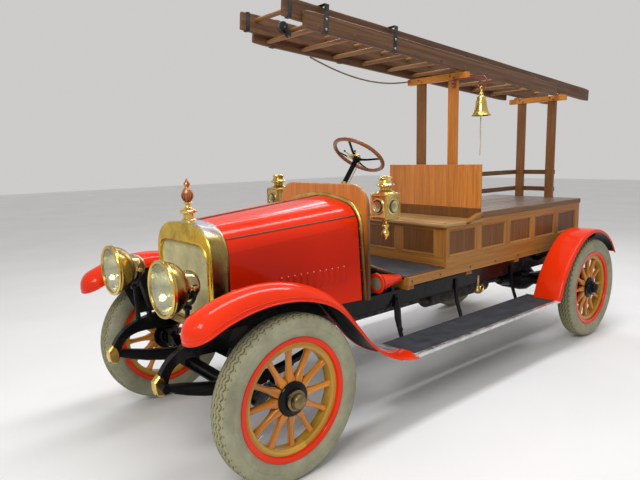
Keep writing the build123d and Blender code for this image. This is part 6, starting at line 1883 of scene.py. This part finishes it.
# Two pedals, square to the toe board
out = Vector((0, abs(toe.z), abs(toe.y)))
for x in (-0.325, -0.235):
    foot_at = Vector((x, FLOOR_FRONT, FLOOR_TOP)) + toe * 0.16
    top = foot_at + out * 0.085
    boards.tube([foot_at - out * 0.01, foot_at + out * 0.05, top], 0.0075, 3, 10)
    pad = [
        [(px, py, h) for px, py in superellipse(0.078 - d, 0.058 - d, 4, 24)]
        for h, d in ((-0.003, 0.006), (0.0, 0), (0.006, 0), (0.009, 0.005))
    ]
    boards.rings(pad, 2, axis_place(top, out, (1, 0, 0)))
boards.build("floor_boards", "chassis", "deck_wood", ("floor_board",), bevel=0.001, angle=30)


# Gear and brake levers on their quadrant
levers = Shape("steel", "black", "brass_old", "iron")
for back, lean, reach, grip in ((1.350, 12, 0.430, False), (1.430, 6, 0.470, True)):
    a = math.radians(lean)
    place = axis_place((-0.495, behind(back), 0.810), (0, math.sin(a), math.cos(a)), (1, 0, 0))
    # Blade: height, width, depth
    blade = (
        (-0.005, 0.016, 0.030), (0.08, 0.014, 0.026), (0.20, 0.0125, 0.021), (0.33, 0.013, 0.018),
        (reach - 0.02, 0.0125, 0.0125),
    )
    levers.rings([[(x, y, h) for x, y in superellipse(w, d, 3, 16)] for h, w, d in blade], 0, place)
    levers.lathe(
        mm((0, 20), (10, 17), (17.5, 9), (20, 0), (18, -9), (11, -16), (8, -30), (7, -34)),
        place @ Matrix.Translation((0, 0, reach)), 1, 24
    )
    if grip:
        rod = [place @ Vector((0.0, -0.016, h)) for h in (0.10, 0.24, 0.36, reach - 0.05)]
        levers.tube(rod, 0.0028, 2, 8)
        handle = [place @ Vector((0.0, -0.012, reach - below)) for below in (0.10, 0.06, 0.02)]
        levers.tube(handle, [0.004, 0.006, 0.004], 0, 8)
sector = []
for k in range(15):
    a = math.radians(between(128, 48, k / 14))
    sector.append((behind(1.39) - 0.14 * math.cos(a), 0.752 + 0.14 * math.sin(a)))
rings = [
    [(x, y, z + dz) for x, dz in ((-0.472, 0), (-0.478, 0.0), (-0.478, 0.020), (-0.472, 0.020))]
    for y, z in sector
]
levers.rings(rings, 2)
bracket_side = mm(
    (1300, 786), (1300, 830), (1310, 834), (1470, 834), (1480, 830), (1480, 786), (1470, 784.5),
    (1310, 784.5)
)
levers.bar([(behind(back), z) for back, z in bracket_side], "x", -0.471, -0.484, 3)
for y in (1.32, 1.39, 1.46):
    levers.bolt((-0.484, behind(y), 0.800), (-1, 0, 0), 0.007, 0.006, 3)
for back in (1.35, 1.43):
    levers.tube([(-0.472, behind(back), 0.810), (-0.518, behind(back), 0.810)], 0.011, 3, 16)
levers.build("hand_lever_set", "chassis", "cast_iron", ("hand_levers",), bevel=0.0006, angle=40)


# Brass caps at the tips of the dumb irons, and the wrapped fronts of the springs
def outline_block(shape, outline, x0, x1, chamfer, slot=0):
    """Block with that side outline of (distance behind the axle, Z), chamfered all round."""
    middle = [sum(c) / len(outline) for c in zip(*outline)]
    rings = []
    for x, shrink in ((x0, chamfer), (x0 + chamfer, 0), (x1 - chamfer, 0), (x1, chamfer)):
        ring = []
        for d, z in outline:
            away = Vector((d - middle[0], z - middle[1]))
            away *= 1 - shrink / away.length
            ring.append((x, behind(middle[0] + away.x), middle[1] + away.y))
        rings.append(ring)
    return shape.rings(rings, slot)


tips = Shape("brass", "painted_shade_void", "frame_black")
TIP = mm(
    (-527, 594), (-557, 566), (-557.5, 522), (-546, 486), (-512, 478), (-494, 488), (-488, 520),
    (-494, 552), (-506, 580)
)
outline_block(tips, TIP, 0.2945, 0.3415, 0.008)
eye_place = axis_place((0.3415, behind(-0.514), 0.524), (1, 0, 0))
tips.lathe(mm((19, -1), (19, 4), (15, 6), (12.5, 4)), eye_place, 0, 28)
# Near-black disc in the eye: painted shade for its hole
tips.lathe(mm((12.5, 4.5), (0, 4.5)), eye_place, 1, 20)
tips.bolt((0.401, behind(-0.517), 0.532), (1, 0, 0), 0.013, 0.009, 1)
# Wrapped leaves in front of the axle: place behind the axle, height of the bottom and of the top
wrap = mm(
    (-500, 517, 545), (-470, 496, 538), (-400, 466, 524), (-300, 432, 498), (-200, 408, 478),
    (-110, 392, 464), (-75, 390, 462)
)
rings = [
    [(0.366 + x, behind(d), (low + top) / 2 + z) for x, z in superellipse(0.061, top - low + 0.004, 5, 24)]
    for d, low, top in wrap
]
tips.rings(rings, 2)
tips.mirror()
tips.build("spring_tips", "chassis", "brass", angle=30)


# Soft edges on CAD nodes whose shape stays
def soften(node, material, width):
    """New piece of the node's shape with its edges rounded and a better material."""
    source = NODES[node]
    work = bmesh.new()
    work.from_mesh(source.data)
    bmesh.ops.remove_doubles(work, verts=work.verts, dist=1e-5)
    bmesh.ops.dissolve_limit(work, angle_limit=math.radians(1.0), verts=work.verts, edges=work.edges)
    mesh = bpy.data.meshes.new(f"{node}_soft")
    work.to_mesh(mesh)
    work.free()
    mesh.materials.clear()
    mesh.materials.append(MATERIALS[material])
    mesh.polygons.foreach_set("material_index", [0] * len(mesh.polygons))
    record = frame["record"]
    body = next(b for b, nodes in record["behaviour"]["bodies"].items() if node in nodes)
    finish_piece(mesh, f"{node}_soft", body, (node,), 30, width, 50)


for node, material, width in (
    ("chassis_frame", "iron_gloss", 0.006), ("leaf_springs", "frame_black", 0.0015),
    ("front_axle", "frame_black", 0.004), ("rear_axle", "frame_black", 0.002),
    ("irons", "frame_black", 0.002), ("driveline", "iron", 0.003)
):
    soften(node, material, width)

# Brass drain valve below the frame, and the step iron in front of it
valve = Shape("brass_old", "frame_black", "brass")
spot = Matrix.Translation((0.398, behind(2.213), 0))
valve.lathe(mm(
    (0, 548), (18, 549), (31, 556), (36, 570), (33, 584), (24, 596), (17, 606), (14, 618)
), spot, 0, 28)
valve.lathe(mm((14, 616), (19, 618), (19, 624), (12, 627), (12, 700)), spot, 0, 20)
# The handle's first point comes again at its end, so that it closes
handle = [spot @ Vector((0.040, 0.024 * c, 0.598 + 0.026 * s)) for c, s in circle(24)]
valve.tube(handle + handle[:1], 0.0055, 2, 8)
valve.tube([spot @ Vector((0, 0, 0.584)), spot @ Vector((0.040, 0, 0.574))], 0.006, 0, 8)
valve.tube([
    (0.424, behind(1.210), 0.700), (0.440, behind(1.200), 0.665), (0.475, behind(1.168), 0.570),
    (0.500, behind(1.148), 0.512)
], 0.0085, 1, 12)
valve.lathe(
    mm((0, -16), (11, -12), (16, 0), (11, 12), (0, 16)), Matrix.Translation((0.500, behind(1.148), 0.504)),
    1, 18
)
valve.build("drain_valve", "chassis", "brass", angle=40)

# Materials of the CAD nodes that stay
for node, material in (
    ("knuckle_left", "frame_black"), ("knuckle_right", "frame_black"), ("tie_rod", "frame_black"),
    ("undertray", "frame_black"), ("silencer", "iron"), ("engine_block", "iron"), ("hood_left", "red_hood_painted_shade"),
    ("hood_right", "red_hood_painted_shade")
):
    dress(node, material)


# Floor, light and world
floor_mesh = bpy.data.meshes.new("studio_floor")
floor_mesh.from_pydata([(-30, -30, 0), (30, -30, 0), (30, 30, 0), (-30, 30, 0)], [], [(0, 1, 2, 3)])
floor = bpy.data.objects.new("studio_floor", floor_mesh)
bpy.context.scene.collection.objects.link(floor)
concrete = Nodes("studio_floor")
cloud = concrete.noise(concrete.vector(), 0.8, 6)
concrete.set(
    Base_Color=concrete.ramp(cloud, (0.3, (0.74, 0.74, 0.73)), (0.7, (0.79, 0.79, 0.78))), Roughness=0.6
)
floor_mesh.materials.append(concrete.material)


def area_light(name, place, target, size, power, color=(1, 1, 1), spin=(1, 0, 0)):
    """Rectangular light at place that shines at target."""
    data = bpy.data.lights.new(name, "AREA")
    data.shape = "RECTANGLE"
    data.size, data.size_y = size
    data.energy = power
    data.color = color
    light = bpy.data.objects.new(name, data)
    light.matrix_world = axis_place(place, Vector(place) - Vector(target), spin)
    bpy.context.scene.collection.objects.link(light)


area_light("key_light", (3.2, -5.6, 5.6), (0, -0.8, 0.9), (2.2, 2.2), 185, (1.0, 0.98, 0.95))
area_light("top_light", (0.5, 0.3, 6.2), (0, 0, 0.8), (1.0, 6.0), 230, (0.96, 0.96, 1.0))
area_light("spark_light", (1.2, -6.2, 3.6), (0.2, -1.5, 1.0), (0.3, 0.3), 26, (1.0, 0.99, 0.97))
area_light(
    "strip_light", (-3.7, 1.8, 4.6), (0.1, -1.3, 1.3), (4.5, 0.28), 34, (0.95, 0.90, 1.0), spin=(0, 1, 0)
)
area_light("rim_light", (-4.0, 5.0, 4.2), (0, 0.4, 1.0), (3.0, 3.0), 60)

world = bpy.data.worlds.new("studio_world")
bpy.context.scene.world = world
world.use_nodes = True
tree = world.node_tree
tree.nodes.clear()
output = tree.nodes.new("ShaderNodeOutputWorld")
soft = tree.nodes.new("ShaderNodeBackground")
soft.inputs["Color"].default_value = (0.98, 0.97, 0.96, 1)
soft.inputs["Strength"].default_value = 0.62
tree.links.new(soft.outputs[0], output.inputs["Surface"])
bpy.context.scene.view_settings.view_transform = "Standard"
